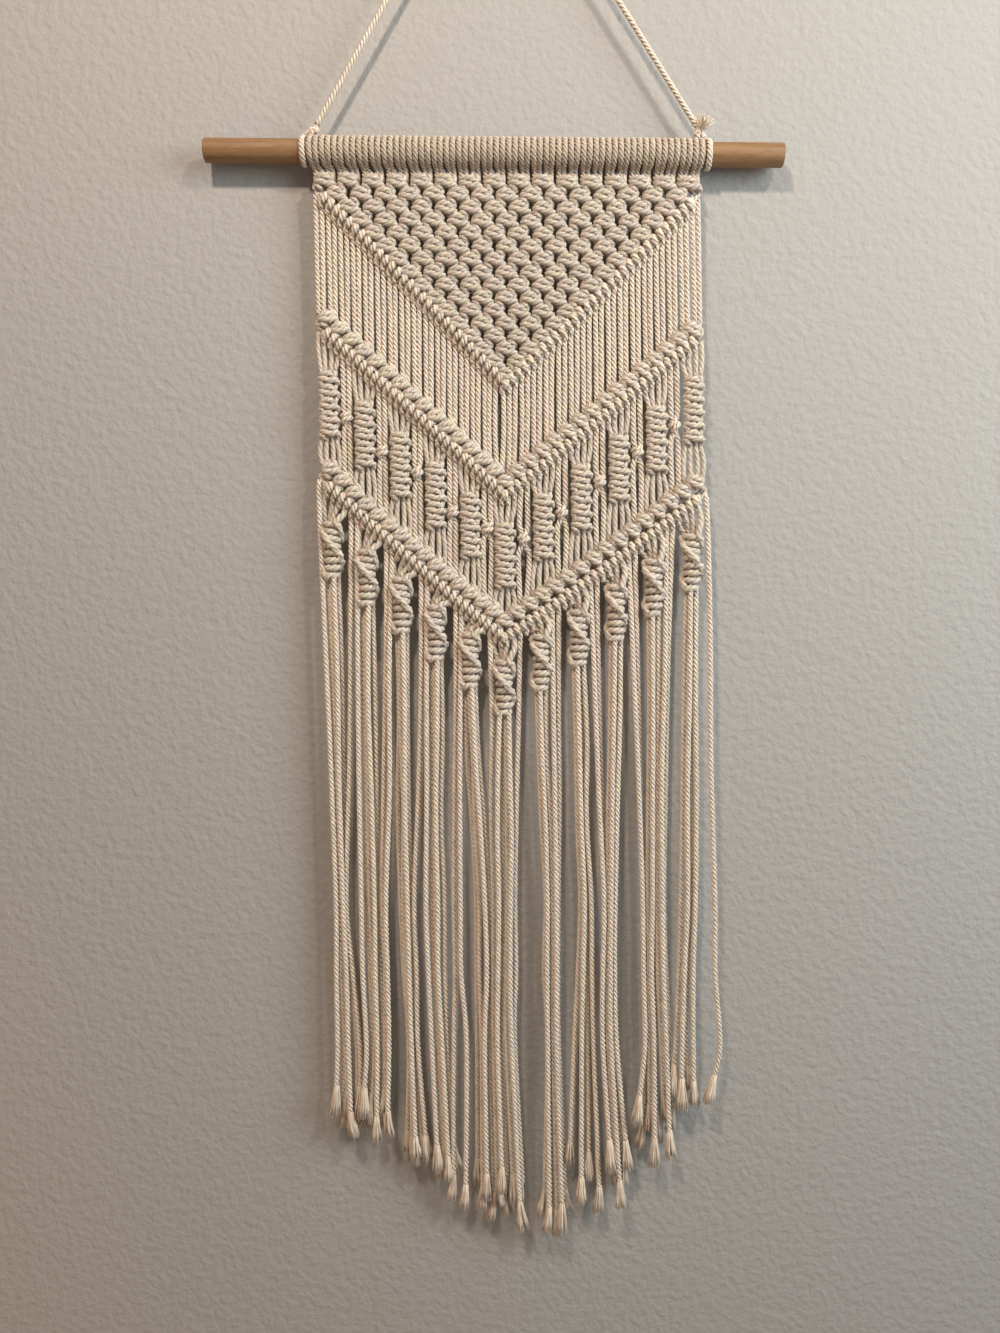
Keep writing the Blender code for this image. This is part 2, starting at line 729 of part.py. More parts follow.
def smooth_route(route, count):
    """Points evenly spread along a smooth curve through the route's own points."""
    knots = [Vector(point) for point in route]
    knots = [2 * knots[0] - knots[1], *knots, 2 * knots[-1] - knots[-2]]
    fine = []
    for a, b, c, d in zip(knots, knots[1:], knots[2:], knots[3:]):
        for step in range(20):
            t = step / 20
            fine.append(
                0.5 * (2 * b + (c - a) * t + (2 * a - 5 * b + 4 * c - d) * t**2 + (3 * b - a - 3 * c + d) * t**3)
            )
    fine.append(knots[-2])
    lengths = [0.0]
    for a, b in zip(fine, fine[1:]):
        lengths.append(lengths[-1] + (b - a).length)
    spread = []
    for step in range(count):
        target = lengths[-1] * step / (count - 1)
        index = max(i for i in range(len(lengths)) if lengths[i] <= target + 1e-12)
        index = min(index, len(fine) - 2)
        share = (target - lengths[index]) / (lengths[index + 1] - lengths[index])
        spread.append(fine[index].lerp(fine[index + 1], share))
    return spread


def build_hanging_cord(parts, cotton):
    """Cord of three plies: each ring of crests and valleys is a step on from the last, so they wind."""
    route = smooth_route(CORD_ROUTE, CORD_RINGS)
    around = 2 * CORD_PLIES
    points = []
    faces = [list(range(around))[::-1]]
    for ring, place in enumerate(route):
        along = (route[min(ring + 1, CORD_RINGS - 1)] - route[max(ring - 1, 0)]).normalized()
        side = along.cross(FRONT)
        for point in range(around):
            radius = CORD_VALLEY if (ring + point) % 2 else CORD_CREST
            angle = math.tau * point / around
            points.append(place + radius * (math.cos(angle) * FRONT + math.sin(angle) * side))
            if ring:
                here = ring * around + point
                after = ring * around + (point + 1) % around
                faces.append((here - around, after - around, here))
                faces.append((after - around, after, here))
    faces.append([(CORD_RINGS - 1) * around + point for point in range(around)])
    cord = add_mesh("hanging_cord", points, faces, parts)
    cord.data.materials.append(cotton)


def main():
    for thing in list(bpy.data.objects):
        bpy.data.objects.remove(thing)
    parts = bpy.data.collections.new("macrame_wall_hanging")
    cutters = bpy.data.collections.new("helpers")
    bpy.context.scene.collection.children.link(parts)
    bpy.context.scene.collection.children.link(cutters)
    cotton = material("cotton_cord", COTTON, 0.9)
    wood = material("dowel_wood", WOOD, 0.6)
    build_dowel(parts, wood)
    build_heading(parts, cotton)
    build_panel(parts, cotton)
    build_fringe(parts, cutters, cotton)
    build_tie("left_tie", LEFT_TIE_X, LEFT_KNOT, parts, cutters, cotton, tuft=False)
    build_tie("right_tie", RIGHT_TIE_X, RIGHT_KNOT, parts, cutters, cotton, tuft=True)
    build_hanging_cord(parts, cotton)


main()
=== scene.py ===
"""Macrame wall hanging: knotted three-ply cotton cord, a wooden dowel and a soft wall behind it.

Every length of cord is a three-lobed section carried along a path and turned as it goes, so that
the plies, their creases and their slant are in the mesh. Knots are short tables of points, in
millimetres across, front to back and up, that are placed, turned and repeated as whole arrays.
Slots, columns and levels are those of the solids, in metres, with +Z up and the front at -Y. The
dowel hangs 0.6 mm lower than its solid, and the last two rows sag between the edges and the tip.
"""

import logging
import math
from dataclasses import dataclass, field
from enum import Enum

import bpy
import numpy as np
from mathutils import Matrix, Vector

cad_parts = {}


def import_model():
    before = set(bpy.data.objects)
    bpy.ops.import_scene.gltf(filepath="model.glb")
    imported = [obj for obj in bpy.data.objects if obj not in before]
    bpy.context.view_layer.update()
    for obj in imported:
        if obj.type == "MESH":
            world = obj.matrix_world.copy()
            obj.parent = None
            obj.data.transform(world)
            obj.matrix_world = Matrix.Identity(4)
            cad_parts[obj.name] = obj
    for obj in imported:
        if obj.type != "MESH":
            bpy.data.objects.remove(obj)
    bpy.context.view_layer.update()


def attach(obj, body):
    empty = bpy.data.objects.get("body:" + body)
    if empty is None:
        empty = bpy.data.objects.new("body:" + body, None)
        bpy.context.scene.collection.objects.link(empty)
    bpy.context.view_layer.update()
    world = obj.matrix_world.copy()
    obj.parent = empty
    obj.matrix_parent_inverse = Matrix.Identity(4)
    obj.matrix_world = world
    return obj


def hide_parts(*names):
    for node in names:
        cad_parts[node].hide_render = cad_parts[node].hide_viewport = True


LOG = logging.getLogger("macrame")
BODY = "root"
MM = 0.001

Array = np.ndarray
Point = tuple[float, float, float]
Colour = tuple[float, float, float, float]
Material = bpy.types.Material
Node = bpy.types.Node
Socket = bpy.types.NodeSocket
Tree = bpy.types.ShaderNodeTree


# ---------------------------------------------------------------------------------------------
# Layout of the work


def points_at(x: Array | float, y: Array | float, z: Array | float) -> Array:
    """An array of points from their three coordinates."""
    return np.stack(np.broadcast_arrays(x, y, z), axis=-1)


@dataclass(frozen=True)
class Level:
    """A V-shaped line across the work: its height over slot 0, at the tip and over slot 63."""

    left: float
    tip: float
    right: float
    sag: tuple[float, ...] = (0.0,) * 7

    def at(self, slot: Array) -> Array:
        """Height over each slot: straight from each edge to the tip, less how far it sags there.

        Args:
            slot: numbers of the slots.

        Returns:
            The heights, in metres.
        """
        ends = (self.left, self.tip, self.right)
        straight = np.interp(slot, (0.0, Layout.MIDDLE, Layout.LAST), ends)
        return straight - MM * np.interp(slot, Layout.SAG_SLOTS, self.sag)

    def by_knots(self, slot: Array) -> Array:
        """Height over each slot, with the edge strands level with the outermost knots."""
        return self.at(np.clip(slot, *Layout.KNOT_SLOTS))


class Layout:
    """Where the dowel, the strands, the levels and the columns are."""

    CORD = 0.0030
    STRANDS = 64
    LAST = 63.0
    MIDDLE = 31.5
    KNOT_SLOTS = (1.5, 61.5)
    LEFT_X = -0.0962
    MIDDLE_X, MIDDLE_DRIFT = 0.0038, -0.0036
    RIGHT_X, RIGHT_DRIFT = 0.1037, 0.0057
    DRIFT_TOP, DRIFT_LOW = -0.1850, -0.4200
    ENTRY = 2.0 * MM
    DRAWN_IN = 0.9 * MM

    ROD_X = -0.0027
    ROD_Z = -0.1656
    ROD_SLOPE = -math.tan(math.radians(1.01))
    ROD_RADIUS = 0.0060
    ROD_LENGTH = 0.3020
    ROD_CLEARANCE = 0.1 * MM
    LOOSE, PRESSED = 3.1 * MM, 0.00175

    HITCH_1 = Level(-0.1848, -0.2861, -0.1898)
    KNOTS_2 = Level(-0.2459, -0.3362, -0.2542)
    HITCH_2 = Level(-0.2547, -0.3441, -0.2612)
    SAG_SLOTS = (0.0, 8.0, 22.0, 31.5, 40.0, 52.0, 63.0)
    KNOTS_3 = Level(-0.3240, -0.4072, -0.3337, (0.0, 4.2, 4.8, 2.7, 3.5, 2.2, 0.0))
    HITCH_3 = Level(-0.3320, -0.4168, -0.3425, (3.0, 4.0, 5.0, 3.0, 4.0, 3.0, 2.0))

    COLUMNS = 11
    MIDDLE_COLUMN = 5
    COLUMN_SLOTS = 6.0
    COLUMN_CENTRE = 1.5
    SINNET_TOP, SINNET_RISE = -0.3573, (0.01606, 0.0151)
    SINNET_HEIGHT = 0.0344
    SPIRAL_TOP, SPIRAL_RISE = -0.4302, (0.0149, 0.0132)
    SPIRAL_X, SPIRAL_PITCH = -0.0001, (0.01824, 0.0202)
    SPIRAL_HEIGHT = 0.0310
    SPIRAL_SLOTS = (1, 7, 13, 19, 25, 30, 35, 41, 47, 53, 59)

    @staticmethod
    def rod_height(x: Array | float) -> Array | float:
        """Height of the dowel's axis at x."""
        return Layout.ROD_Z + Layout.ROD_SLOPE * (x - Layout.ROD_X)

    @staticmethod
    def pressed(points: Array) -> Array:
        """Points of a turn round the dowel, pressed flat against it.

        The distance from the dowel's axis is squeezed between the wood and a cord's width over
        it, and is moved in by the same amount further out.

        Args:
            points: x, y, z along the last axis.

        Returns:
            The pressed points.
        """
        x, y, z = np.moveaxis(points, -1, 0)
        high = z - Layout.rod_height(x)
        away = np.hypot(y, high)
        start = Layout.ROD_RADIUS + Layout.ROD_CLEARANCE
        squeezed = start + (away - start) * Layout.PRESSED / Layout.LOOSE
        beyond = away - Layout.LOOSE + Layout.PRESSED
        share = np.where(away < start + Layout.LOOSE, squeezed, beyond) / np.maximum(away, 1e-6)
        return points_at(x, y * share, z + high * (share - 1.0))

    @staticmethod
    def slot_x(slot: Array | float, z: Array | float) -> Array:
        """Sideways place of slots at given heights.

        Straight between the left edge, the middle and the right edge, where the middle and the
        right edge drift evenly as the work goes down.

        Args:
            slot: slot numbers, 0 at the left.
            z: heights.

        Returns:
            One x for each pair.
        """
        slot, z = np.broadcast_arrays(np.asarray(slot, float), np.asarray(z, float))
        share = np.clip((Layout.DRIFT_TOP - z) / (Layout.DRIFT_TOP - Layout.DRIFT_LOW), 0.0, 1.0)
        middle = Layout.MIDDLE_X + Layout.MIDDLE_DRIFT * share
        right = Layout.RIGHT_X + Layout.RIGHT_DRIFT * share
        low = Layout.LEFT_X + (middle - Layout.LEFT_X) * slot / Layout.MIDDLE
        high = middle + (right - middle) * (slot - Layout.MIDDLE) / Layout.MIDDLE
        return np.where(slot < Layout.MIDDLE, low, high)

    @staticmethod
    def points(slot: Array, z: Array) -> Array:
        """Points of slots at given heights, in the plane of the work."""
        return points_at(Layout.slot_x(slot, z), 0.0, z)

    @staticmethod
    def drawn_in(slot: Array) -> Array:
        """How far a strand at either edge is drawn inwards where it enters the work."""
        return Layout.DRAWN_IN * ((slot < 0.5) * 1.0 - (slot > Layout.LAST - 0.5) * 1.0)

    @staticmethod
    def column_slots(strand: float, columns: int = COLUMNS) -> Array:
        """Slot of one strand in each column."""
        return Layout.COLUMN_SLOTS * np.arange(columns) + strand

    @staticmethod
    def column_rise(left: float, right: float) -> Array:
        """Height of each column over the middle one, with its own step on either side."""
        steps = np.arange(Layout.COLUMNS) - Layout.MIDDLE_COLUMN
        return np.where(steps > 0, right * steps, -left * steps)

    @staticmethod
    def sinnet_tops() -> Array:
        """Middle of the top of each sinnet.

        Returns:
            One point for each column.
        """
        z = Layout.SINNET_TOP + Layout.column_rise(*Layout.SINNET_RISE)
        slots = Layout.column_slots(Layout.COLUMN_CENTRE)
        return points_at(Layout.slot_x(slots, z - Layout.SINNET_HEIGHT / 2), 0.0, z)

    @staticmethod
    def spiral_tops() -> Array:
        """Middle of the top of each spiral, with its own pitch on either side.

        Returns:
            One point for each column.
        """
        steps = np.arange(Layout.COLUMNS) - Layout.MIDDLE_COLUMN
        left, right = Layout.SPIRAL_PITCH
        x = Layout.SPIRAL_X + np.where(steps > 0, right, left) * steps
        return points_at(x, 0.0, Layout.SPIRAL_TOP + Layout.column_rise(*Layout.SPIRAL_RISE))


# ---------------------------------------------------------------------------------------------
# Cord


class Twist(Enum):
    """How finely a cord's section is drawn: the angles, in degrees, of the points of one ply."""

    PLAIN = (0.0, 34.0, 86.0)
    FINE = (0.0, 27.0, 60.0, 93.0)


@dataclass(frozen=True)
class Ply:
    """Section of a three-ply cord: each ply starts at its crease, then rises over its crown."""

    radius: float = 0.0015
    lay: float = 0.0077
    crease: float = 0.68
    shoulder: float = 1.04
    crown: float = 1.08

    def section(self, twist: Twist) -> tuple[Array, Array]:
        """Angles and radii, as a share of the cord's own, of the points round one section.

        Args:
            twist: how finely it is drawn.

        Returns:
            Angles in radians and shares of the radius, once round.
        """
        if twist is Twist.PLAIN:
            share = (self.crease, self.shoulder, self.shoulder)
        else:
            share = (self.crease, self.shoulder * 0.95, self.crown, self.shoulder * 0.95)
        angles = np.arange(3)[:, None] * math.tau / 3 + np.radians(twist.value)[None]
        return angles.ravel(), np.tile(share, 3)


KNOT_PLY = Ply(lay=0.0105, crease=0.80)
HITCH_PLY = Ply(crease=0.72)
FINE_STEP = 1.0 * MM
TURN_STEP = 1.1 * MM
HITCH_STEP = 1.18 * MM
KNOT_STEP = 1.33 * MM
FREE_STEP = 1.5 * MM
LEADER_STEP = 1.6 * MM
CORE_STEP = 2.2 * MM


def walked_along(paths: Array) -> Array:
    """Length of each path up to each of its stations."""
    steps = np.linalg.norm(np.diff(paths, axis=1), axis=2)
    return np.concatenate([np.zeros((len(paths), 1)), np.cumsum(steps, axis=1)], axis=1)


def curve_through(points: Array, spacing: float, fineness: int = 10) -> Array:
    """Smooth paths through rows of points, cut into steps of even length.

    A Catmull-Rom curve runs through the points of each row. It is then walked by its own length,
    in the number of steps that the longest row needs at the given spacing.

    Args:
        points: rows, points of a row, and x, y, z.
        spacing: length of a step.
        fineness: steps of the curve between two points before it is walked.

    Returns:
        Rows, stations of a row, and x, y, z.
    """
    first = 2 * points[:, :1] - points[:, 1:2]
    last = 2 * points[:, -1:] - points[:, -2:-1]
    held = np.concatenate([first, points, last], axis=1)
    a, b, c, d = (held[:, i : held.shape[1] - 3 + i, None] for i in range(4))
    t = (np.arange(fineness) / fineness)[None, None, :, None]
    square, cube = 2 * a - 5 * b + 4 * c - d, 3 * b - a - 3 * c + d
    fine = 0.5 * (2 * b + (c - a) * t + square * t**2 + cube * t**3)
    fine = np.concatenate([fine.reshape(len(points), -1, 3), points[:, -1:]], axis=1)
    walked = walked_along(fine)
    count = max(3, int(math.ceil(walked[:, -1].max() / spacing)) + 1)
    share = np.linspace(0.0, 1.0, count)
    made = np.empty((len(points), count, 3))
    for row in range(len(points)):
        for axis in range(3):
            made[row, :, axis] = np.interp(share * walked[row, -1], walked[row], fine[row, :, axis])
    return made


def unit(vectors: Array) -> Array:
    """Vectors of length one along the last axis."""
    return vectors / np.maximum(np.linalg.norm(vectors, axis=-1, keepdims=True), 1e-12)


def carried_normals(tangents: Array) -> Array:
    """Normals that turn along each path as little as they can.

    The first one faces the front. Each next one is the last with its part along the new tangent
    taken out.

    Args:
        tangents: unit tangents by path and station.

    Returns:
        Unit normals by path and station.
    """
    normals = np.empty_like(tangents)
    start = np.broadcast_to(np.array([0.0, -1.0, 0.0]), tangents[:, 0].shape)
    along = np.abs((start * tangents[:, 0]).sum(1, keepdims=True))
    current = np.where(along > 0.9, np.array([1.0, 0.0, 0.0]), start)
    for station in range(tangents.shape[1]):
        here = tangents[:, station]
        current = unit(current - (current * here).sum(1, keepdims=True) * here)
        normals[:, station] = current
    return normals


def tube(paths: Array, reach: Array, turn: Array) -> Array:
    """Rings of points carried along paths.

    A point is the path's point, plus its reach times the path's normal turned by its angle.

    Args:
        paths: stations by path.
        reach: distance of each point of a ring from the path.
        turn: angle of each point of a ring.

    Returns:
        Points by path, station and place round the ring.
    """
    tangents = unit(np.gradient(paths, axis=1))
    normals = carried_normals(tangents)
    sides = np.cross(normals, tangents)
    return (
        paths[:, :, None]
        + (reach * np.cos(turn))[..., None] * normals[:, :, None]
        + (reach * np.sin(turn))[..., None] * sides[:, :, None]
    )


def tube_faces(shape: tuple[int, int, int], first: int = 0) -> tuple[Array, Array]:
    """Numbers of the points of tubes, and the quads between their rings.

    Args:
        shape: how many tubes, rings of a tube and points of a ring.
        first: number of the first point.

    Returns:
        The numbers in that shape, and one row for each quad.
    """
    index = first + np.arange(math.prod(shape)).reshape(shape)
    after = np.roll(index, -1, axis=2)
    quads = np.stack([index[:, :-1], index[:, 1:], after[:, 1:], after[:, :-1]], axis=-1)
    return index, quads.reshape(-1, 4)


def new_mesh(name: str, points: Array, faces: list[Array]) -> bpy.types.Mesh:
    """A smooth-shaded mesh from arrays.

    Args:
        name: its name.
        points: x, y, z of each point.
        faces: blocks of faces, each with a row of point numbers for a face.

    Returns:
        The mesh.
    """
    corners = np.concatenate([block.ravel() for block in faces])
    sizes = np.concatenate([np.full(len(block), block.shape[1]) for block in faces])
    mesh = bpy.data.meshes.new(name)
    mesh.vertices.add(len(points))
    mesh.vertices.foreach_set("co", points.astype(np.float32).ravel())
    mesh.loops.add(len(corners))
    mesh.loops.foreach_set("vertex_index", corners.astype(np.int32))
    mesh.polygons.add(len(sizes))
    mesh.polygons.foreach_set("loop_start", (np.cumsum(sizes) - sizes).astype(np.int32))
    mesh.update(calc_edges=True)
    mesh.polygons.foreach_set("use_smooth", np.ones(len(sizes), bool))
    return mesh


def set_tint(mesh: bpy.types.Mesh, shades: Array) -> None:
    """Give each point of a mesh its shade, from 0 to 1."""
    mesh.attributes.new("tint", "FLOAT", "POINT").data.foreach_set("value", shades.astype(np.float32))


def place(name: str, mesh: bpy.types.Mesh, finish: Material, node: str) -> bpy.types.Object:
    """Make a piece from its mesh, dress it, link it, set it on the frame and report it.

    Args:
        name: its name.
        mesh: its shape.
        finish: its material.
        node: the node that it stands for, whose solid it hides.

    Returns:
        The new object.
    """
    piece = bpy.data.objects.new(name, mesh)
    mesh.materials.append(finish)
    bpy.context.scene.collection.objects.link(piece)
    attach(piece, BODY)
    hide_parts(node)
    LOG.info("%s: %d triangles", name, len(mesh.loops) - 2 * len(mesh.polygons))
    return piece


@dataclass
class CordMesh:
    """Gathers lengths of cord and turns them into one closed mesh."""

    STANDS_FROM = 1.2 * MM
    STANDS_OVER = 1.6 * MM
    UNDONE = 0.45

    name: str
    seed: int
    ply: Ply = Ply()
    points: list[Array] = field(default_factory=list)
    quads: list[Array] = field(default_factory=list)
    caps: list[Array] = field(default_factory=list)
    corners: list[Array] = field(default_factory=list)
    tints: list[Array] = field(default_factory=list)
    creases: list[Array] = field(default_factory=list)
    total: int = 0

    def __post_init__(self) -> None:
        """Start the piece's own row of random numbers."""
        self.random = np.random.default_rng(self.seed)

    def add(
        self, points: Array, spacing: float, twist: Twist = Twist.PLAIN, thick: float = 1.0,
        swell: float = 0.0, press: bool = False, taper: float = 0.0,
    ) -> Array:
        """Carry the section along smooth paths.

        It turns as it goes, by the length walked over the lay.

        Args:
            points: points that the paths run through, by path.
            spacing: length of a step of a path.
            twist: how finely the section is drawn.
            thick: share of the radius.
            swell: how much thicker a cord is where it stands out to the front.
            press: whether the cords lie flat on the dowel.
            taper: length at the lower end over which the cord thins as it comes undone.

        Returns:
            The paths, stations by path.
        """
        paths = curve_through(points, spacing)
        walked = walked_along(paths)
        angles, share = self.ply.section(twist)
        shape = (*walked.shape, len(angles))
        phase = self.random.uniform(0, math.tau, (len(paths), 1))
        turn = (phase + math.tau * walked / self.ply.lay)[:, :, None] + angles
        stands = np.clip((-paths[..., 1] - self.STANDS_FROM) / self.STANDS_OVER, 0.0, 1.0)
        undone = np.clip(1.0 - (walked[:, -1:] - walked) / max(taper, 1e-6), 0.0, 1.0)
        size = (1.0 + swell * stands - self.UNDONE * undone)[:, :, None]
        surface = tube(paths, self.ply.radius * thick * size * share, turn)
        surface = Layout.pressed(surface) if press else surface
        index, quads = tube_faces(shape, self.total)
        self.points.append(surface.reshape(-1, 3))
        self.quads.append(quads)
        self.caps += [index[:, 0], index[:, -1, ::-1]]
        self.corners.append(self._round_and_along(walked, len(angles)))
        self.tints.append(np.repeat(self.random.uniform(0, 1, len(paths)), shape[1] * shape[2]))
        self.creases.append(np.arange(index.size) % len(twist.value) == 0)
        self.total += index.size
        return paths

    def _round_and_along(self, walked: Array, around: int) -> Array:
        """Place of each quad's corners: once round the cord, and along it on the same scale.

        Args:
            walked: length up to each station, by path.
            around: points of a section.

        Returns:
            Two coordinates for each corner.
        """
        along = walked / (math.tau * self.ply.radius)
        u = np.arange(around + 1) / around
        shape = (len(walked), walked.shape[1] - 1, around)
        left, right, low, high = (
            np.broadcast_to(values, shape)
            for values in (u[:-1], u[1:], along[:, :-1, None], along[:, 1:, None])
        )
        return np.stack([left, low, left, high, right, high, right, low], axis=-1).reshape(-1, 2)

    def build(self, finish: Material, node: str) -> bpy.types.Object:
        """Make the object, smooth but for the creases between plies, and set it on the frame.

        Args:
            finish: its material.
            node: the node that it stands for.

        Returns:
            The new object.
        """
        mesh = new_mesh(self.name, np.concatenate(self.points), [*self.quads, *self.caps])
        corners = np.concatenate(self.corners)
        places = np.zeros((len(mesh.loops), 2), np.float32)
        places[: len(corners)] = corners
        mesh.uv_layers.new(name="cord").uv.foreach_set("vector", places.ravel())
        ends = np.empty(2 * len(mesh.edges), np.int32)
        mesh.edges.foreach_get("vertices", ends)
        sharp = np.concatenate(self.creases)[ends.reshape(-1, 2)].all(axis=1)
        mesh.attributes.new("sharp_edge", "BOOLEAN", "EDGE").data.foreach_set("value", sharp)
        set_tint(mesh, np.concatenate(self.tints))
        return place(self.name, mesh, finish, node)


@dataclass
class Tuft:
    """Bundles of thin, tapered, three-sided locks of loose fibre."""

    TAPER = (1.0, 1.0, 0.95, 0.55)
    CLUMPS = 6
    CLUMP_SPREAD = 0.50
    SIZES = (0.85, 1.15)
    LENGTHS = (0.84, 1.02)
    LEAN = 1.0 * MM
    STRAY = 0.24 * MM

    name: str
    seed: int
    locks: int
    length: float
    root: float
    flare: float
    thickness: float = 0.00043

    def paths(self, random: np.random.Generator, tips: Array, ways: Array) -> Array:
        """Paths of the locks.

        Each lock starts at a random place in the end of the cord. Its distance from the bundle's
        axis grows with its length to the power 1.2, and the whole bundle leans with the square.

        Args:
            random: the piece's own random numbers.
            tips: where the bundles start.
            ways: unit directions that they follow.

        Returns:
            Stations by lock.
        """
        shape = (len(tips), self.locks)
        clump = random.uniform(0, math.tau, (len(tips), self.CLUMPS))
        clump = clump[:, np.arange(self.locks) % self.CLUMPS]
        angle = clump + random.normal(0.0, self.CLUMP_SPREAD, shape)
        reach = np.sqrt(random.uniform(0.0, 1.0, shape))
        share = np.linspace(0.0, 1.0, len(self.TAPER))
        size = random.uniform(*self.SIZES, (len(tips), 1))
        own = self.length * size * random.uniform(*self.LENGTHS, shape)
        lean = random.normal(0.0, self.LEAN, (len(tips), 1, 2))
        side = unit(np.cross(ways, np.array([0.0, 1.0, 0.0])))
        out = self.root * reach[..., None] + self.flare * (size * reach)[..., None] * share**1.2
        out = out + random.normal(0.0, self.STRAY, out.shape) * share
        across = out * np.cos(angle)[..., None] + lean[..., 0:1] * share**2
        deep = out * np.sin(angle)[..., None] + lean[..., 1:2] * share**2
        paths = (
            tips[:, None, None]
            + ways[:, None, None] * (own[..., None] * share)[..., None]
            + side[:, None, None] * across[..., None]
            + np.cross(ways, side)[:, None, None] * deep[..., None]
        )
        return paths.reshape(-1, len(share), 3)

    def build(self, tips: Array, ways: Array, finish: Material, node: str) -> bpy.types.Object:
        """Carry a shrinking triangle along each lock, close both ends and set the piece on the frame.

        Args:
            tips: where the bundles start.
            ways: unit directions that they follow.
            finish: its material.
            node: the node that it stands for.

        Returns:
            The new object.
        """
        random = np.random.default_rng(self.seed)
        paths = self.paths(random, tips, ways)
        turn = np.arange(3) * math.tau / 3 + random.uniform(0, math.tau, (len(paths), 1, 1))
        thin = self.thickness * np.array(self.TAPER)[None, :, None]
        rings = tube(paths, thin, turn)
        index, quads = tube_faces(rings.shape[:3])
        faces = [quads[:, [0, 1, 2]], quads[:, [0, 2, 3]], index[:, 0], index[:, -1, ::-1]]
        mesh = new_mesh(self.name, rings.reshape(-1, 3), faces)
        shades = random.uniform(0, 1, len(paths))
        set_tint(mesh, np.repeat(shades, rings.shape[1] * rings.shape[2]))
        return place(self.name, mesh, finish, node)


def turned(points: Array, angles: Array) -> Array:
    """Points turned about the Y axis, counterclockwise from the front.

    Args:
        points: rows of points.
        angles: one angle for each row.

    Returns:
        The turned points.
    """
    cos, sin = np.cos(angles)[:, None], np.sin(angles)[:, None]
    x, y, z = np.moveaxis(points, -1, 0)
    return points_at(x * cos - z * sin, y, x * sin + z * cos)


def stamped(table: tuple[Point, ...], centres: Array, angles: Array, scales: Array) -> Array:
    """Copies of a table of points, scaled, turned and moved to their places.

    Args:
        table: points in millimetres.
        centres: x, y, z of each copy.
        angles: turn of each copy.
        scales: x, y, z scale of each copy.

    Returns:
        Points by copy.
    """
    return turned(np.array(table)[None] * MM * scales[:, None], angles) + centres[:, None]


def strung(*parts: Array) -> Array:
    """Rows of points put together from parts that have one point or several in each row."""
    return np.concatenate([part[:, None] if part.ndim == 2 else part for part in parts], axis=1)


# ---------------------------------------------------------------------------------------------
# Finishes


def new_group(
    name: str, inputs: dict[str, tuple[str, float | None]], output: str
) -> tuple[Tree, Node, Node]:
    """An empty shader group with named sockets.

    Args:
        name: its name.
        inputs: socket types and first values by name.
        output: name of the value that it puts out.

    Returns:
        The group, its input node and its output node.
    """
    group = bpy.data.node_groups.new(name, "ShaderNodeTree")
    for label, (kind, value) in inputs.items():
        socket = group.interface.new_socket(label, in_out="INPUT", socket_type="NodeSocket" + kind)
        if value is not None:
            socket.default_value = value
    group.interface.new_socket(output, in_out="OUTPUT", socket_type="NodeSocketFloat")
    return group, group.nodes.new("NodeGroupInput"), group.nodes.new("NodeGroupOutput")


def feed(tree: Tree, socket: Socket, value: object) -> None:
    """Link another socket to an input, or set the input to a value.

    Args:
        tree: where the link goes.
        socket: the input.
        value: a socket, number, vector or colour.
    """
    if isinstance(value, bpy.types.NodeSocket):
        tree.links.new(value, socket)
    else:
        socket.default_value = value


def new_node(
    tree: Tree, kind: str, sockets: dict[str, object] | None = None, group: Tree | None = None
) -> Node:
    """Add a shader node.

    Args:
        tree: where it goes.
        kind: its type, without the first word that all share.
        sockets: what its inputs take, by name.
        group: the group that it holds, if it holds one.

    Returns:
        The node.
    """
    node = tree.nodes.new("ShaderNode" + kind)
    if group:
        node.node_tree = group
    for label, value in (sockets or {}).items():
        feed(tree, node.inputs[label], value)
    return node


def math_node(tree: Tree, operation: str, *values: object) -> Socket:
    """The result of a math node fed by numbers or sockets.

    Args:
        tree: where the node goes.
        operation: what it works out.
        values: a number or a socket for each input.

    Returns:
        The node's output.
    """
    node = new_node(tree, "Math")
    node.operation = operation
    for socket, value in zip(node.inputs, values):
        feed(tree, socket, value)
    return node.outputs[0]


def clamped(tree: Tree, value: Socket, most: float) -> Socket:
    """A value held between nothing and its most."""
    return math_node(tree, "MINIMUM", math_node(tree, "MAXIMUM", value, 0.0), most)


def mixed(tree: Tree, share: object, first: object, second: object, blend: str = "MIX") -> Socket:
    """A mix of two colours by a share.

    Args:
        tree: where the node goes.
        share: a number or socket.
        first: colour or socket at a share of 0.
        second: colour or socket at a share of 1.
        blend: how they are mixed.

    Returns:
        The mixed colour.
    """
    node = new_node(tree, "Mix")
    node.data_type, node.blend_type = "RGBA", blend
    for number, value in ((0, share), (6, first), (7, second)):
        feed(tree, node.inputs[number], value)
    return node.outputs[2]


def new_material(name: str, sockets: dict[str, object]) -> tuple[Material, Tree, Node]:
    """A material with constants on its Principled shader's sockets.

    Args:
        name: its name.
        sockets: the constants by socket.

    Returns:
        The material, its tree and its shader.
    """
    made = bpy.data.materials.new(name)
    made.use_nodes = True
    shader = made.node_tree.nodes["Principled BSDF"]
    for label, value in sockets.items():
        shader.inputs[label].default_value = value
    return made, made.node_tree, shader


def add_relief(tree: Tree, shader: Node, height: Socket, distance: float, strength: float) -> None:
    """Raise a shader's surface by a height, as far as a distance and with a strength."""
    bump = new_node(tree, "Bump", {"Distance": distance, "Strength": strength, "Height": height})
    tree.links.new(bump.outputs[0], shader.inputs["Normal"])


def object_place(tree: Tree) -> Socket:
    """Place in the object's own coordinates."""
    return new_node(tree, "TexCoord").outputs["Object"]


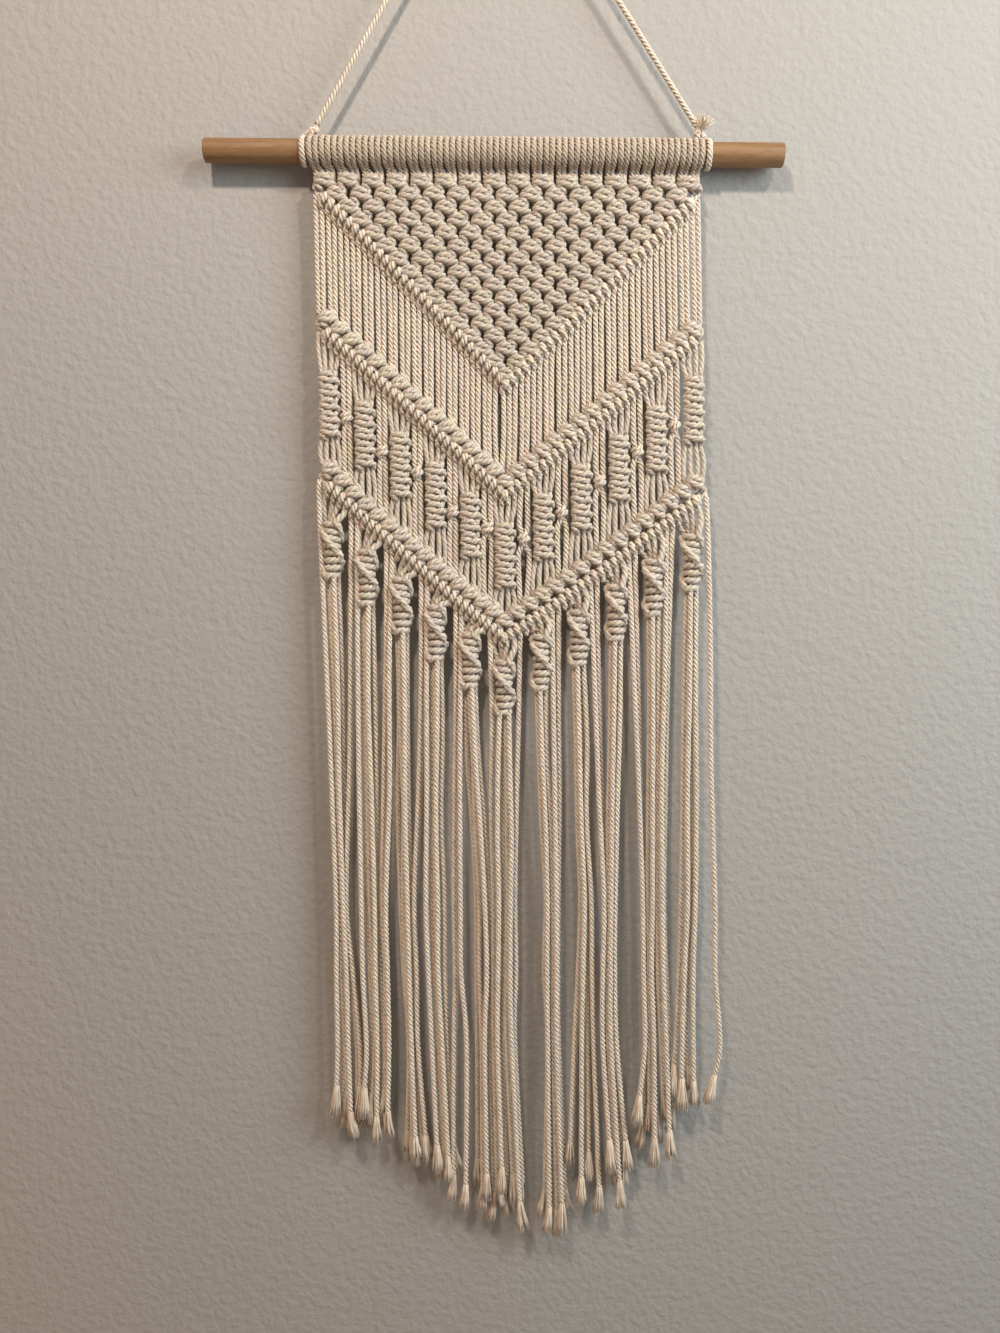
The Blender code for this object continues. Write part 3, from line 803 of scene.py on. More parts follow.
def own_shade(tree: Tree) -> Socket:
    """The shade of each length of cord or lock of fibre.

    Args:
        tree: where the node goes.

    Returns:
        Its output, from 0 to 1.
    """
    node = new_node(tree, "Attribute")
    node.attribute_name = "tint"
    return node.outputs["Fac"]


def fibre_group() -> Tree:
    """Group of fibre streaks: noise drawn out along the vector's second coordinate.

    Returns:
        The group.
    """
    group, start, end = new_group(
        "fibre_streaks",
        {"Vector": ("Vector", None), "Across": ("Float", 30.0), "Along": ("Float", 4.0)},
        "Streaks",
    )
    parts = new_node(group, "SeparateXYZ", {"Vector": start.outputs["Vector"]})
    join = new_node(group, "CombineXYZ")
    for number, stretch in enumerate(("Across", "Along", "Across")):
        value = math_node(group, "MULTIPLY", parts.outputs[number], start.outputs[stretch])
        group.links.new(value, join.inputs[number])
    sockets = {"Scale": 1.0, "Detail": 3.0, "Roughness": 0.6, "Vector": join.outputs[0]}
    noise = new_node(group, "TexNoise", sockets)
    group.links.new(noise.outputs["Fac"], end.inputs["Streaks"])
    return group


def painted_crease_shade_group() -> Tree:
    """Group of painted shade: it puts out 1 at a crease between plies and 0 at a crown.

    The place round the cord times three is how many plies round it is. Its distance to the
    nearest whole number is small at a crease and grows to a half at a crown.

    Returns:
        The group.
    """
    sockets = {"Vector": ("Vector", None), "Width": ("Float", 0.3)}
    group, start, end = new_group("ply_crease_painted_shade", sockets, "Crease")
    parts = new_node(group, "SeparateXYZ", {"Vector": start.outputs["Vector"]})
    away = math_node(group, "PINGPONG", math_node(group, "MULTIPLY", parts.outputs[0], 3.0), 0.5)
    wide = math_node(group, "DIVIDE", away, start.outputs["Width"])
    clipped = math_node(group, "MINIMUM", wide, 1.0)
    group.links.new(math_node(group, "SUBTRACT", 1.0, clipped), end.inputs["Crease"])
    return group


@dataclass(frozen=True)
class CottonFinish:
    """Natural cotton: pale crowns, painted shade in the creases between plies, fibre streaks, and
    strands that differ a little.

    A warm and a yellow colour come up in soft patches, each mostly on strands of its own shade.
    """

    STREAKS = {"Across": 18.0, "Along": 5.0}
    PATCHES = {"Scale": 230.0, "Detail": 2.0}
    PATCH_GAIN, PATCH_START, PATCH_MOST = 4.0, -1.65, 0.85
    WARM_STRANDS = (0.7, -0.86)
    YELLOW_STRANDS = (-0.7, 0.20)
    PATCH_SHADE = (0.5, 0.72)
    STREAK_SHADE = (1.4, 0.30)
    PAINTED_SHADE_POWER = 1.4
    RELIEF = (0.00028, 0.8)

    name: str
    light: Colour = (0.700, 0.590, 0.505, 1.0)
    warm: Colour = (0.69, 0.530, 0.430, 1.0)
    yellow: Colour = (0.705, 0.610, 0.445, 1.0)
    # Painted shade in the creases between plies: the colour it darkens towards, how wide it spreads and how
    # far it darkens.
    crease: Colour = (0.15, 0.090, 0.060, 1.0)
    painted_shade_width: float = 0.26
    painted_shade_share: float = 0.66
    # Painted light and shade: the level brightens or darkens this copy of the cotton for its part of the
    # work.
    level: float = 1.0

    def material(self, fibres: Tree, plies: Tree) -> Material:
        """Build the material.

        Args:
            fibres: group of fibre streaks.
            plies: group of the painted shade in the creases between plies.

        Returns:
            The material.
        """
        made, tree, shader = new_material(self.name, {
            "Roughness": 0.92, "Specular IOR Level": 0.15, "Sheen Weight": 0.25,
            "Sheen Roughness": 0.6, "Sheen Tint": (1.0, 0.93, 0.84, 1.0),
        })
        round_cord = new_node(tree, "UVMap")
        round_cord.uv_map = "cord"
        vector = {"Vector": round_cord.outputs[0]}
        streaks = new_node(tree, "Group", {**self.STREAKS, **vector}, fibres).outputs[0]
        painted_crease_shade = new_node(tree, "Group", {"Width": self.painted_shade_width, **vector}, plies).outputs[0]
        blotch = new_node(tree, "TexNoise", {**self.PATCHES, "Vector": object_place(tree)})
        patches = new_node(tree, "SeparateColor", {"Color": blotch.outputs["Color"]})
        shade, base = own_shade(tree), self.light
        kinds = ((self.WARM_STRANDS, self.warm), (self.YELLOW_STRANDS, self.yellow))
        for channel, (strands, colour) in enumerate(kinds):
            lean = math_node(tree, "MULTIPLY_ADD", shade, *strands)
            patch = patches.outputs[channel]
            patch = math_node(tree, "MULTIPLY_ADD", patch, self.PATCH_GAIN, self.PATCH_START)
            share = clamped(tree, math_node(tree, "ADD", patch, lean), self.PATCH_MOST)
            base = mixed(tree, share, base, colour)
        # Painted light and shade: the level scales the whole colour of this copy.
        gain, floor = (self.level * value for value in self.PATCH_SHADE)
        soft = math_node(tree, "MULTIPLY_ADD", blotch.outputs["Fac"], gain, floor)
        fine = math_node(tree, "MULTIPLY_ADD", streaks, *self.STREAK_SHADE)
        dimmed = mixed(tree, 1.0, base, math_node(tree, "MULTIPLY", soft, fine), "MULTIPLY")
        # Painted shade: the colour darkens towards the crease colour in the creases between plies.
        depth = math_node(tree, "POWER", painted_crease_shade, self.PAINTED_SHADE_POWER)
        depth = math_node(tree, "MULTIPLY", depth, self.painted_shade_share)
        tree.links.new(mixed(tree, depth, dimmed, self.crease), shader.inputs["Base Color"])
        add_relief(tree, shader, streaks, *self.RELIEF)
        return made


@dataclass(frozen=True)
class FrayFinish:
    """Loose cotton fibre at the cut ends: pale locks, and some darker ones."""

    STREAKS = {"Across": 1500.0, "Along": 1500.0}

    name: str
    light: Colour = (0.80, 0.665, 0.525, 1.0)
    dark: Colour = (0.42, 0.305, 0.215, 1.0)

    def material(self, fibres: Tree) -> Material:
        """Build the material.

        Args:
            fibres: group of fibre streaks.

        Returns:
            The material.
        """
        sockets = {"Roughness": 0.9, "Specular IOR Level": 0.15, "Sheen Weight": 0.3}
        made, tree, shader = new_material(self.name, sockets)
        streaks = new_node(tree, "Group", {**self.STREAKS, "Vector": object_place(tree)}, fibres)
        share = math_node(tree, "MULTIPLY", own_shade(tree), streaks.outputs[0])
        tree.links.new(mixed(tree, share, self.light, self.dark), shader.inputs["Base Color"])
        return made


@dataclass(frozen=True)
class WoodFinish:
    """Bare hardwood with its grain along the dowel, pores as short dark dashes and plain ends."""

    GRAIN = {"Across": 420.0, "Along": 34.0}
    PORES = {"Across": 2600.0, "Along": 190.0}
    PORE_START, PORE_GAIN, PORE_MOST = 0.56, 7.0, 0.4
    GRAIN_ROUGHNESS = 0.2
    RELIEF = (0.00006, 0.5)

    name: str
    pale: Colour = (0.350, 0.198, 0.088, 1.0)
    deep: Colour = (0.155, 0.073, 0.028, 1.0)
    pore: Colour = (0.10, 0.045, 0.020, 1.0)
    roughness: float = 0.42

    def material(self, fibres: Tree) -> Material:
        """Build the material.

        Args:
            fibres: group of fibre streaks.

        Returns:
            The material.
        """
        made, tree, shader = new_material(self.name, {"Specular IOR Level": 0.4})
        sockets = {"Rotation": (0.0, 0.0, math.pi / 2), "Vector": object_place(tree)}
        vector = {"Vector": new_node(tree, "Mapping", sockets).outputs[0]}
        grain = new_node(tree, "Group", {**self.GRAIN, **vector}, fibres).outputs[0]
        pores = new_node(tree, "Group", {**self.PORES, **vector}, fibres).outputs[0]
        dash = math_node(tree, "SUBTRACT", pores, self.PORE_START)
        dash = clamped(tree, math_node(tree, "MULTIPLY", dash, self.PORE_GAIN), self.PORE_MOST)
        body = mixed(tree, grain, self.pale, self.deep)
        tree.links.new(mixed(tree, dash, body, self.pore), shader.inputs["Base Color"])
        rough = math_node(tree, "MULTIPLY_ADD", grain, self.GRAIN_ROUGHNESS, self.roughness)
        tree.links.new(rough, shader.inputs["Roughness"])
        add_relief(tree, shader, pores, *self.RELIEF)
        return made


@dataclass(frozen=True)
class PlasterFinish:
    """Pale matt surface of wall and floor.

    Where it is see-through, so it is from behind, and it lets a part of each shadow's light pass.
    """

    LUMPS = {"Scale": 260.0, "Detail": 3.0}
    RELIEF = (0.0018, 0.55)
    PASSING = 0.22

    name: str
    see_through: bool
    colour: Colour = (0.370, 0.346, 0.320, 1.0)

    def material(self) -> Material:
        """Build the material.

        Returns:
            The material.
        """
        sockets = {"Base Color": self.colour, "Roughness": 0.9, "Specular IOR Level": 0.2}
        made, tree, shader = new_material(self.name, sockets)
        lumps = new_node(tree, "TexNoise", {**self.LUMPS, "Vector": object_place(tree)})
        add_relief(tree, shader, lumps.outputs["Fac"], *self.RELIEF)
        if self.see_through:
            facing = new_node(tree, "NewGeometry").outputs["Backfacing"]
            shadow = new_node(tree, "LightPath").outputs["Is Shadow Ray"]
            passed = math_node(tree, "MULTIPLY", shadow, self.PASSING)
            mix = new_node(tree, "MixShader")
            clear = new_node(tree, "BsdfTransparent")
            layers = (math_node(tree, "MAXIMUM", facing, passed), shader.outputs[0], clear.outputs[0])
            for number, layer in enumerate(layers):
                tree.links.new(layer, mix.inputs[number])
            tree.links.new(mix.outputs[0], tree.nodes["Material Output"].inputs["Surface"])
        return made


@dataclass
class Finishes:
    """All materials of the object."""

    cotton: Material
    wrapped: Material
    upper: Material
    knotted: Material
    fringe: Material
    fray: Material
    wood: Material

    @classmethod
    def build(cls) -> "Finishes":
        """Make the shared groups and the materials.

        Returns:
            All finishes of the work.
        """
        fibres, plies = fibre_group(), painted_crease_shade_group()
        # One cotton in five copies, brightened or darkened by part as painted light and shade: the wraps,
        # the net and the knots darker; the hanging cord, ties, hitches, free strands and pair knots
        # lighter; the fringe lighter still. The wraps also get darker, warmer colours as painted shade.
        wrapped = CottonFinish(
            "wrapped_cotton_painted_shade",
            light=(0.69, 0.555, 0.445, 1.0),
            warm=(0.68, 0.50, 0.39, 1.0),
            yellow=(0.69, 0.575, 0.405, 1.0),
            painted_shade_share=0.68,
            level=0.82,
        )
        upper = CottonFinish("upper_cotton_painted_shade", painted_shade_share=0.58, level=0.80)
        knotted = CottonFinish("knotted_cotton_painted_shade", painted_shade_share=0.50, level=0.91)
        fringe = CottonFinish("fringe_cotton_painted_light", painted_shade_share=0.56, level=1.15)
        return cls(
            cotton=CottonFinish("hanging_cotton_painted_light", level=1.09).material(fibres, plies),
            wrapped=wrapped.material(fibres, plies),
            upper=upper.material(fibres, plies),
            knotted=knotted.material(fibres, plies),
            fringe=fringe.material(fibres, plies),
            fray=FrayFinish("loose_cotton").material(fibres),
            wood=WoodFinish("bare_hardwood").material(fibres),
        )


# ---------------------------------------------------------------------------------------------
# Surroundings


@dataclass(frozen=True)
class Lamp:
    """A square soft light: its place, the point that it faces, its width, its power and its colour."""

    name: str
    place: Point
    aim: Point
    width: float
    watts: float
    tint: Point

    def build(self) -> None:
        """Add the light, which the camera doesn't see."""
        lamp = bpy.data.lights.new(self.name, "AREA")
        lamp.shape, lamp.size, lamp.energy, lamp.color = "SQUARE", self.width, self.watts, self.tint
        light = bpy.data.objects.new(self.name, lamp)
        light.visible_camera = False
        light.location = self.place
        facing = Vector(self.aim) - Vector(self.place)
        light.rotation_euler = facing.to_track_quat("-Z", "Y").to_euler()
        bpy.context.scene.collection.objects.link(light)


@dataclass
class Studio:
    """Camera, lights, wall and floor.

    Two warm lamps stand over the front and a wide cool light at the right, with weak fills from
    below and behind.
    """

    WARM = (1.0, 0.86, 0.72)
    UPPER_WORK = (0.0, 0.0, -0.15)
    LAMPS = (
        Lamp("lamp_left", (-0.196, -0.637, 0.275), UPPER_WORK, 0.07, 4.9, WARM),
        Lamp("lamp_right", (0.458, -0.62, 0.275), UPPER_WORK, 0.07, 3.45, (1.0, 0.91, 0.80)),
        Lamp("window", (0.80, -0.50, -0.12), (0.0, 0.0, -0.40), 0.5, 8.8, (0.78, 0.92, 1.0)),
        Lamp("bounce", (-0.62, -0.5, -0.85), (-0.2, 0.0, -0.62), 0.4, 0.9, (1.0, 0.50, 0.16)),
        Lamp("rear", (0.2, 1.5, 0.3), UPPER_WORK, 1.4, 18.0, WARM),
    )
    ROOM, ROOM_LEVEL = (0.97, 0.96, 0.95, 1.0), 0.23

    focal_px: float = 1001.0
    image_height_px: float = 1333.0
    sensor: float = 36.0
    eye: Point = (-0.00214, -0.53880, -0.40003)
    pitch: float = math.radians(3.65)
    roll: float = math.radians(0.55)
    wall_y: float = 0.0104
    half_width: float = 0.9
    wall_top: float = 0.45
    floor_z: float = -1.02
    floor_front: float = -1.2
    floor_back: float = 0.8

    def build(self) -> None:
        """Set the camera, the wall, the floor and the lights."""
        self.camera()
        self.backdrop()
        for lamp in self.LAMPS:
            lamp.build()
        world = bpy.data.worlds.new("soft_room")
        world.use_nodes = True
        shade = world.node_tree.nodes["Background"]
        shade.inputs["Color"].default_value = self.ROOM
        shade.inputs["Strength"].default_value = self.ROOM_LEVEL
        bpy.context.scene.view_settings.view_transform = "Standard"
        bpy.context.scene.world = world

    def camera(self) -> None:
        """Set the camera, which looks down a little and leans a little."""
        right = Vector((1.0, 0.0, 0.0))
        up = Vector((0.0, math.sin(self.pitch), math.cos(self.pitch)))
        forward = Vector((0.0, math.cos(self.pitch), -math.sin(self.pitch)))
        leant_right = math.cos(self.roll) * right - math.sin(self.roll) * up
        leant_up = math.sin(self.roll) * right + math.cos(self.roll) * up
        lens = bpy.data.cameras.new("camera")
        lens.sensor_width = self.sensor
        lens.lens = self.focal_px / self.image_height_px * self.sensor
        lens.clip_start = 0.01
        camera = bpy.data.objects.new("camera", lens)
        pose = Matrix((leant_right, leant_up, -forward)).transposed().to_4x4()
        pose.translation = Vector(self.eye)
        camera.matrix_world = pose
        bpy.context.scene.collection.objects.link(camera)
        bpy.context.scene.camera = camera

    def backdrop(self) -> None:
        """Set a wall behind the work and a floor well under it."""
        half, low, y = self.half_width, self.floor_z, self.wall_y
        wall = ((-half, y, low), (half, y, low), (half, y, self.wall_top), (-half, y, self.wall_top))
        front, back = self.floor_front, self.floor_back
        floor = ((-half, front, low), (half, front, low), (half, back, low), (-half, back, low))
        self._plane("backdrop_wall", wall, PlasterFinish("wall_plaster", True).material())
        self._plane("backdrop_floor", floor, PlasterFinish("floor_plaster", False).material())

    def _plane(self, name: str, corners: tuple[Point, ...], finish: Material) -> None:
        """A flat rectangle that is only a backdrop.

        Args:
            name: its name.
            corners: its four corners, counterclockwise from its front.
            finish: its material.
        """
        mesh = bpy.data.meshes.new(name)
        mesh.from_pydata(corners, [], [(0, 1, 2, 3)])
        mesh.materials.append(finish)
        plane = bpy.data.objects.new(name, mesh)
        bpy.context.scene.collection.objects.link(plane)


# ---------------------------------------------------------------------------------------------
# Pieces


@dataclass
class Dowel:
    """The wooden rod: a turned profile with eased ends."""

    finish: Material
    sides: int = 72
    rings: int = 14
    ease: float = 0.0007
    ease_points: int = 6

    def build(self) -> None:
        """Turn the profile about the dowel's tilted axis.

        The profile is a quarter circle at the edge of each end, with the straight wall between
        them. A fan of triangles about its middle closes each end.
        """
        radius, half = Layout.ROD_RADIUS, Layout.ROD_LENGTH / 2
        bend = np.linspace(0.0, math.pi / 2, self.ease_points)
        along = half - self.ease + self.ease * np.cos(bend)
        reach = radius - self.ease + self.ease * np.sin(bend)
        wall = np.linspace(half - self.ease, -half + self.ease, self.rings)[1:-1]
        profile_x = np.concatenate([along, wall, -along[::-1]])[:, None]
        profile_r = np.concatenate([reach, np.full(len(wall), radius), reach[::-1]])[:, None]
        turn = np.linspace(0.0, math.tau, self.sides, endpoint=False)
        points = points_at(profile_x, profile_r * np.cos(turn), profile_r * np.sin(turn))
        points = np.concatenate([points.reshape(-1, 3), [[half, 0.0, 0.0], [-half, 0.0, 0.0]]])
        tilt = math.atan(Layout.ROD_SLOPE)
        cos, sin = math.cos(tilt), math.sin(tilt)
        lean = np.array([[cos, 0, -sin], [0, 1, 0], [sin, 0, cos]])
        points = points @ lean.T + np.array([Layout.ROD_X, 0.0, Layout.ROD_Z])
        index, quads = tube_faces((1, len(profile_x), self.sides))
        right, left = np.full((2, self.sides), [[index.size], [index.size + 1]])
        first, last = index[0, 0], index[0, -1]
        caps = (
            np.stack([right, first, np.roll(first, -1)], axis=1),
            np.stack([left, np.roll(last, -1), last], axis=1),
        )
        mesh = new_mesh("dowel_wood", points, [quads, *caps])
        place("dowel_wood", mesh, self.finish, "dowel")


@dataclass
class HangingCord:
    """The cord from tie to tie over the nail. Its route is the same list of points as in the solids."""

    finish: Material
    route: tuple[Point, ...] = (
        (-0.0949, 0.0, -0.1505), (-0.0840, 0.0, -0.1326), (-0.0753, 0.0, -0.1181), (-0.0665, 0.0, -0.1036),
        (-0.0578, 0.0, -0.0891), (-0.0490, 0.0, -0.0745), (-0.0402, 0.0, -0.0599), (-0.0315, 0.0, -0.0453),
        (-0.0227, 0.0, -0.0307), (-0.0140, 0.0, -0.0162), (-0.0084, 0.0, -0.0068), (-0.0054, 0.0, -0.0018),
        (-0.0028, 0.0, 0.0007), (0.0003, 0.0, 0.0015), (0.0034, 0.0, 0.0007), (0.0060, 0.0, -0.0018),
        (0.0091, 0.0, -0.0066), (0.0149, 0.0, -0.0157), (0.0243, 0.0, -0.0303), (0.0337, 0.0, -0.0449),
        (0.0431, 0.0, -0.0596), (0.0525, 0.0, -0.0742), (0.0618, 0.0, -0.0888), (0.0712, 0.0, -0.1034),
        (0.0806, 0.0, -0.1180), (0.0899, 0.0, -0.1326), (0.1034, 0.0, -0.1537),
    )

    def build(self) -> None:
        cord = CordMesh("hanging_cord_rope", 3)
        path = cord.add(np.array(self.route)[None], FINE_STEP, Twist.FINE)
        piece = cord.build(self.finish, "hanging_cord")


@dataclass
class Tie:
    """One end of the hanging cord: a turn round the dowel and a small overhand knot on top."""

    TURN = np.radians(np.linspace(-8.0, 345.0, 26))
    TURN_PITCH = 0.4 * MM
    NECK_BOW = (0.0, -0.6 * MM, 0.6 * MM)
    KNOT_SPAN = (0.25, math.tau - 0.15)
    TAIL = ((0.7, -1.4, 1.6), (1.2, -1.6, 2.8))
    TAIL_WAY = (0.34, -0.10, 0.93)

    name: str
    node: str
    seed: int
    ring_x: float
    knot: Point
    cord_end: Point
    finish: Material
    fray: Material | None = None
    ring_radius: float = 0.0077
    knot_size: float = 0.00064

    def build(self) -> None:
        """Sweep the ring, the neck to the knot and the knot, and a tail where it has loose fibre.

        The knot is a trefoil: x is sin t + 2 sin 2t, z is cos t - 2 cos 2t and y is - 1.35 sin 3t.
        """
        rope = CordMesh(self.name, self.seed)
        knot = np.array(self.knot)
        ring = points_at(
            self.ring_x + self.TURN_PITCH * self.TURN / math.tau,
            -self.ring_radius * np.sin(self.TURN),
            Layout.rod_height(self.ring_x) + self.ring_radius * np.cos(self.TURN),
        )
        rope.add(ring[None], TURN_STEP, Twist.FINE, press=True)
        neck = np.stack([ring[0], (ring[0] + knot) / 2 + self.NECK_BOW, knot, np.array(self.cord_end)])
        rope.add(neck[None], TURN_STEP, Twist.FINE)
        t = np.linspace(*self.KNOT_SPAN, 40)
        x, z = np.sin(t) + 2 * np.sin(2 * t), np.cos(t) - 2 * np.cos(2 * t)
        body = knot + self.knot_size * points_at(x, -1.35 * np.sin(3 * t), z)
        rope.add(body[None], FINE_STEP, Twist.FINE, thick=0.86)
        if self.fray:
            self._tail(rope, knot)
        rope.build(self.finish, self.node)

    def _tail(self, rope: CordMesh, knot: Array) -> None:
        """A short end that leaves the knot up and to the right, and its loose fibre.

        Args:
            rope: mesh that takes the end.
            knot: middle of the knot.
        """
        out = knot + np.array([(0.0, 0.0, 0.0), *self.TAIL]) * MM
        rope.add(out[None], FINE_STEP, Twist.FINE)
        brush = Tuft(self.name + "_fray", self.seed + 1, 60, 7.0 * MM, 1.0 * MM, 5.0 * MM, 0.00026)
        way = unit(np.array([self.TAIL_WAY]))
        brush.build(out[-1:] - way * 1.6 * MM, way, self.fray, self.node)


@dataclass
class Heading:
    """Reverse lark's heads: each cord turns twice round the dowel, side by side."""

    TURN = np.radians(np.linspace(-128.0, 172.0, 15))
    DROP_Y = (1.4 * MM, 2.2 * MM, 2.2 * MM)
    DROP_Z = (-8.6 * MM, -11.5 * MM, -17.5 * MM)
    SETTLE = np.array([0.0] * 12 + [0.04, 0.08, 0.14, 0.4, 0.75, 1.0])
    DRAW = 0.42 * MM * np.array([0.0] * 12 + [0.15, 0.45, 0.8, 1.0, 1.0, 0.6])
    LEAN_SPREAD = 0.20 * MM

    finish: Material
    left: float = -0.0998
    right: float = 0.1066
    wrap_radius: float = 0.0077

    def build(self) -> None:
        """Sweep 32 cords, each down from one wrap, across the back and up the other.

        Round the dowel a point stands at the wrap radius and an angle that runs from the back of
        the underside, over the top, to the front of the underside. Below it each strand settles
        from its wrap's place to its slot's, and the two strands of a pair draw together.
        """
        pitch = (self.right - self.left) / Layout.STRANDS
        number = np.arange(Layout.STRANDS)
        wraps = self.left + pitch * (number + 0.5)
        deep = np.concatenate([-self.wrap_radius * np.sin(self.TURN), self.DROP_Y])
        high = np.concatenate([self.wrap_radius * np.cos(self.TURN), self.DROP_Z])
        lean = np.random.default_rng(11).normal(0.0, self.LEAN_SPREAD, len(wraps))
        axis = Layout.rod_height(wraps)
        to_slot = Layout.slot_x(number, axis) - wraps
        x = wraps[:, None] + to_slot[:, None] * self.SETTLE + lean[:, None] * np.sin(self.SETTLE * math.pi)
        x = x + np.where(number % 2 == 0, 1.0, -1.0)[:, None] * self.DRAW
        single = points_at(x, deep, axis[:, None] + high)
        rope = CordMesh("heading_wraps", 12)
        rope.add(np.concatenate([single[0::2, ::-1], single[1::2]], axis=1), TURN_STEP, press=True)
        rope.build(self.finish, "heading")


class KnotShapes:
    """Points of one knot's cords, in millimetres: across, front to back (front is minus), up."""

    UPPER = (
        (-3.9, 0.0, 2.4), (-4.0, -1.4, 1.6), (-2.8, -2.4, 1.7), (-0.7, -3.0, 1.9), (1.3, -2.8, 1.5),
        (2.6, -1.8, 0.7), (3.0, -0.2, -0.1), (2.3, 1.7, -1.2), (0.0, 2.3, -1.6), (-2.5, 1.9, -1.5),
        (-4.0, 0.6, -1.2), (-4.6, -0.8, -1.7), (-4.2, -1.9, -2.4), (-3.0, -2.2, -3.2), (-2.0, -1.2, -4.0),
    )
    LOWER = (
        (3.7, 0.8, 3.3), (4.2, -0.7, 2.2), (4.0, -1.5, 1.0), (3.2, -0.8, 0.1), (2.2, 1.1, 0.7),
        (0.0, 2.3, 1.3), (-2.4, 1.8, 1.2), (-3.8, 0.4, 0.6), (-4.5, -1.2, 0.0), (-3.9, -2.4, -0.5),
        (-2.1, -2.9, -0.9), (0.0, -3.1, -1.7), (1.9, -3.0, -2.2), (3.4, -2.9, -1.7), (4.7, -2.5, -1.8),
        (5.5, -1.6, -2.6), (5.4, -0.2, -3.8),
    )
    UPPER_ENDS = (((-2.6, 1.2, 5.2), (-3.2, 1.0, 3.6)), ((-1.8, 0.2, -4.4), (-2.6, 1.0, -5.4)))
    LOWER_ENDS = (((3.4, 1.6, 5.0),), ((4.8, 1.0, -4.8),))
    CORE = ((1.7, 0.5, 4.4), (1.2, 0.1, 2.0), (1.2, 0.1, -2.0), (1.7, 0.5, -4.4))
    HITCH = (
        (0.2, 0.4, 3.0), (0.1, -0.4, 1.8), (-0.3, -0.8, 0.5), (-0.9, -0.5, -0.7), (-1.1, 0.4, -1.4),
        (-0.4, 1.7, -1.2), (0.9, 2.2, -0.2), (2.1, 1.5, 1.2), (2.7, 0.0, 1.7), (2.7, -1.6, 1.6),
        (2.4, -2.9, 0.9), (1.9, -3.4, -0.1), (1.4, -3.2, -1.2), (1.0, -2.2, -2.1), (0.6, -1.2, -2.2),
        (-0.1, -1.1, -2.2), (-0.4, -1.2, -3.2), (-0.2, -0.9, -4.5),
    )
    LEADER_END = ((1.6, 0.6, 6.0), (0.5, 0.4, 4.2), (-0.3, 0.2, 1.8))
    PAIR_WRAP = (
        (1.4, 0.0, 3.2), (0.9, -1.7, 2.2), (-0.9, -2.3, 1.4), (-2.4, -0.6, 0.7), (-1.2, 1.9, 0.3),
        (1.4, 1.7, 0.4), (2.4, -0.6, 0.3), (1.1, -2.3, -0.5), (-0.8, -2.2, -1.2), (-1.6, -0.6, -2.2),
        (-0.4, 0.6, -3.2),
    )
    PAIR_STRAIGHT = ((-1.5, 0.3, 5.0), (-0.2, 0.2, 0.0), (1.3, 0.3, -5.0))
    HALF_FRONT = (
        (-3.2, -0.9, 0.75), (-1.7, -2.3, 0.3), (0.0, -2.7, 0.1), (1.7, -2.3, -0.1), (3.2, -1.0, -0.4),
    )
    HALF_RIGHT = ((4.2, -0.4, -0.9),)
    HALF_BACK = (
        (3.6, -2.0, -1.0), (2.9, 0.6, 0.2), (1.4, 2.4, 0.1), (-1.4, 2.4, 0.2), (-2.9, 0.7, 0.6),
    )
    HALF_LEFT = ((-3.9, -1.7, 0.4), (-4.2, -1.6, -0.9))


@dataclass
class SquareKnots:
    """Square knots stamped at given places, with their two core strands."""

    SIZE_SPREAD = 0.035
    TURN_SPREAD = math.radians(2.5)
    LIFTED = np.array([(0.0, 0.7, 1.0), (0.0, 0.4, 0.1)])
    CROSSING = slice(2, 14)
    CORE_THICK = 0.96

    width: float = 0.97
    height: float = 1.0
    thick: float = 1.06
    swell: float = 0.10
    rise: float = 0.0

    def add_to(self, rope: CordMesh, centres: Array, angles: Array, tops: Array | float = 0.0) -> None:
        """Add the knots to a rope.

        Args:
            rope: mesh that takes the cords.
            centres: middle of each knot.
            angles: turn of each knot.
            tops: how much higher than drawn each knot's cords come in.
        """
        wobble = rope.random.normal(1.0, self.SIZE_SPREAD, (len(centres), 3))
        scales = np.array([self.width, 1.0, self.height]) * wobble
        spin = angles + rope.random.normal(0.0, self.TURN_SPREAD, len(centres))
        lift = np.broadcast_to(tops, len(centres))[:, None, None] * self.LIFTED
        for table, (head, foot), rise in (
            (KnotShapes.UPPER, KnotShapes.UPPER_ENDS, self.rise),
            (KnotShapes.LOWER, KnotShapes.LOWER_ENDS, 0.0),
        ):
            whole = stamped((*head, *table, *foot), centres, spin, scales)
            whole[:, :2] += lift
            crossing = whole[:, self.CROSSING]
            crossing[..., 2] += rise * (crossing[..., 0] - centres[:, None, 0])
            rope.add(whole, KNOT_STEP, thick=self.thick, swell=self.swell)
        for side in (-1, 1):
            whole = stamped(np.array(KnotShapes.CORE) * (side, 1, 1), centres, spin, scales)
            whole[:, :2] += lift
            rope.add(whole, CORE_STEP, thick=self.CORE_THICK)


@dataclass
class Net:
    """Triangle of alternating square knots, each row two slots narrower at both sides."""

    finish: Material
    rows: int = 16
    first_drop: float = 0.0156
    pitch: float = 0.00657
    turn: float = math.radians(-2.0)
    spread: float = 0.15 * MM
    top_rise: float = 3.0 * MM

    def build(self) -> None:
        """Stamp all knots of the net."""
        row = np.concatenate([np.full(self.rows - j, j) for j in range(self.rows)])
        number = np.concatenate([np.arange(self.rows - j) for j in range(self.rows)])
        drop = self.first_drop + self.pitch * row
        x = Layout.slot_x(Layout.COLUMN_CENTRE + 2 * row + 4 * number, Layout.ROD_Z - drop)
        rope = CordMesh("net_knots", 21, KNOT_PLY)
        shift = rope.random.normal(0.0, self.spread, (len(x), 2))
        centres = points_at(x + shift[:, 0], 0.0, Layout.rod_height(x) - drop + shift[:, 1])
        SquareKnots().add_to(rope, centres, self.turn, np.where(row == 0, self.top_rise, 0.0))
        rope.build(self.finish, "panel")


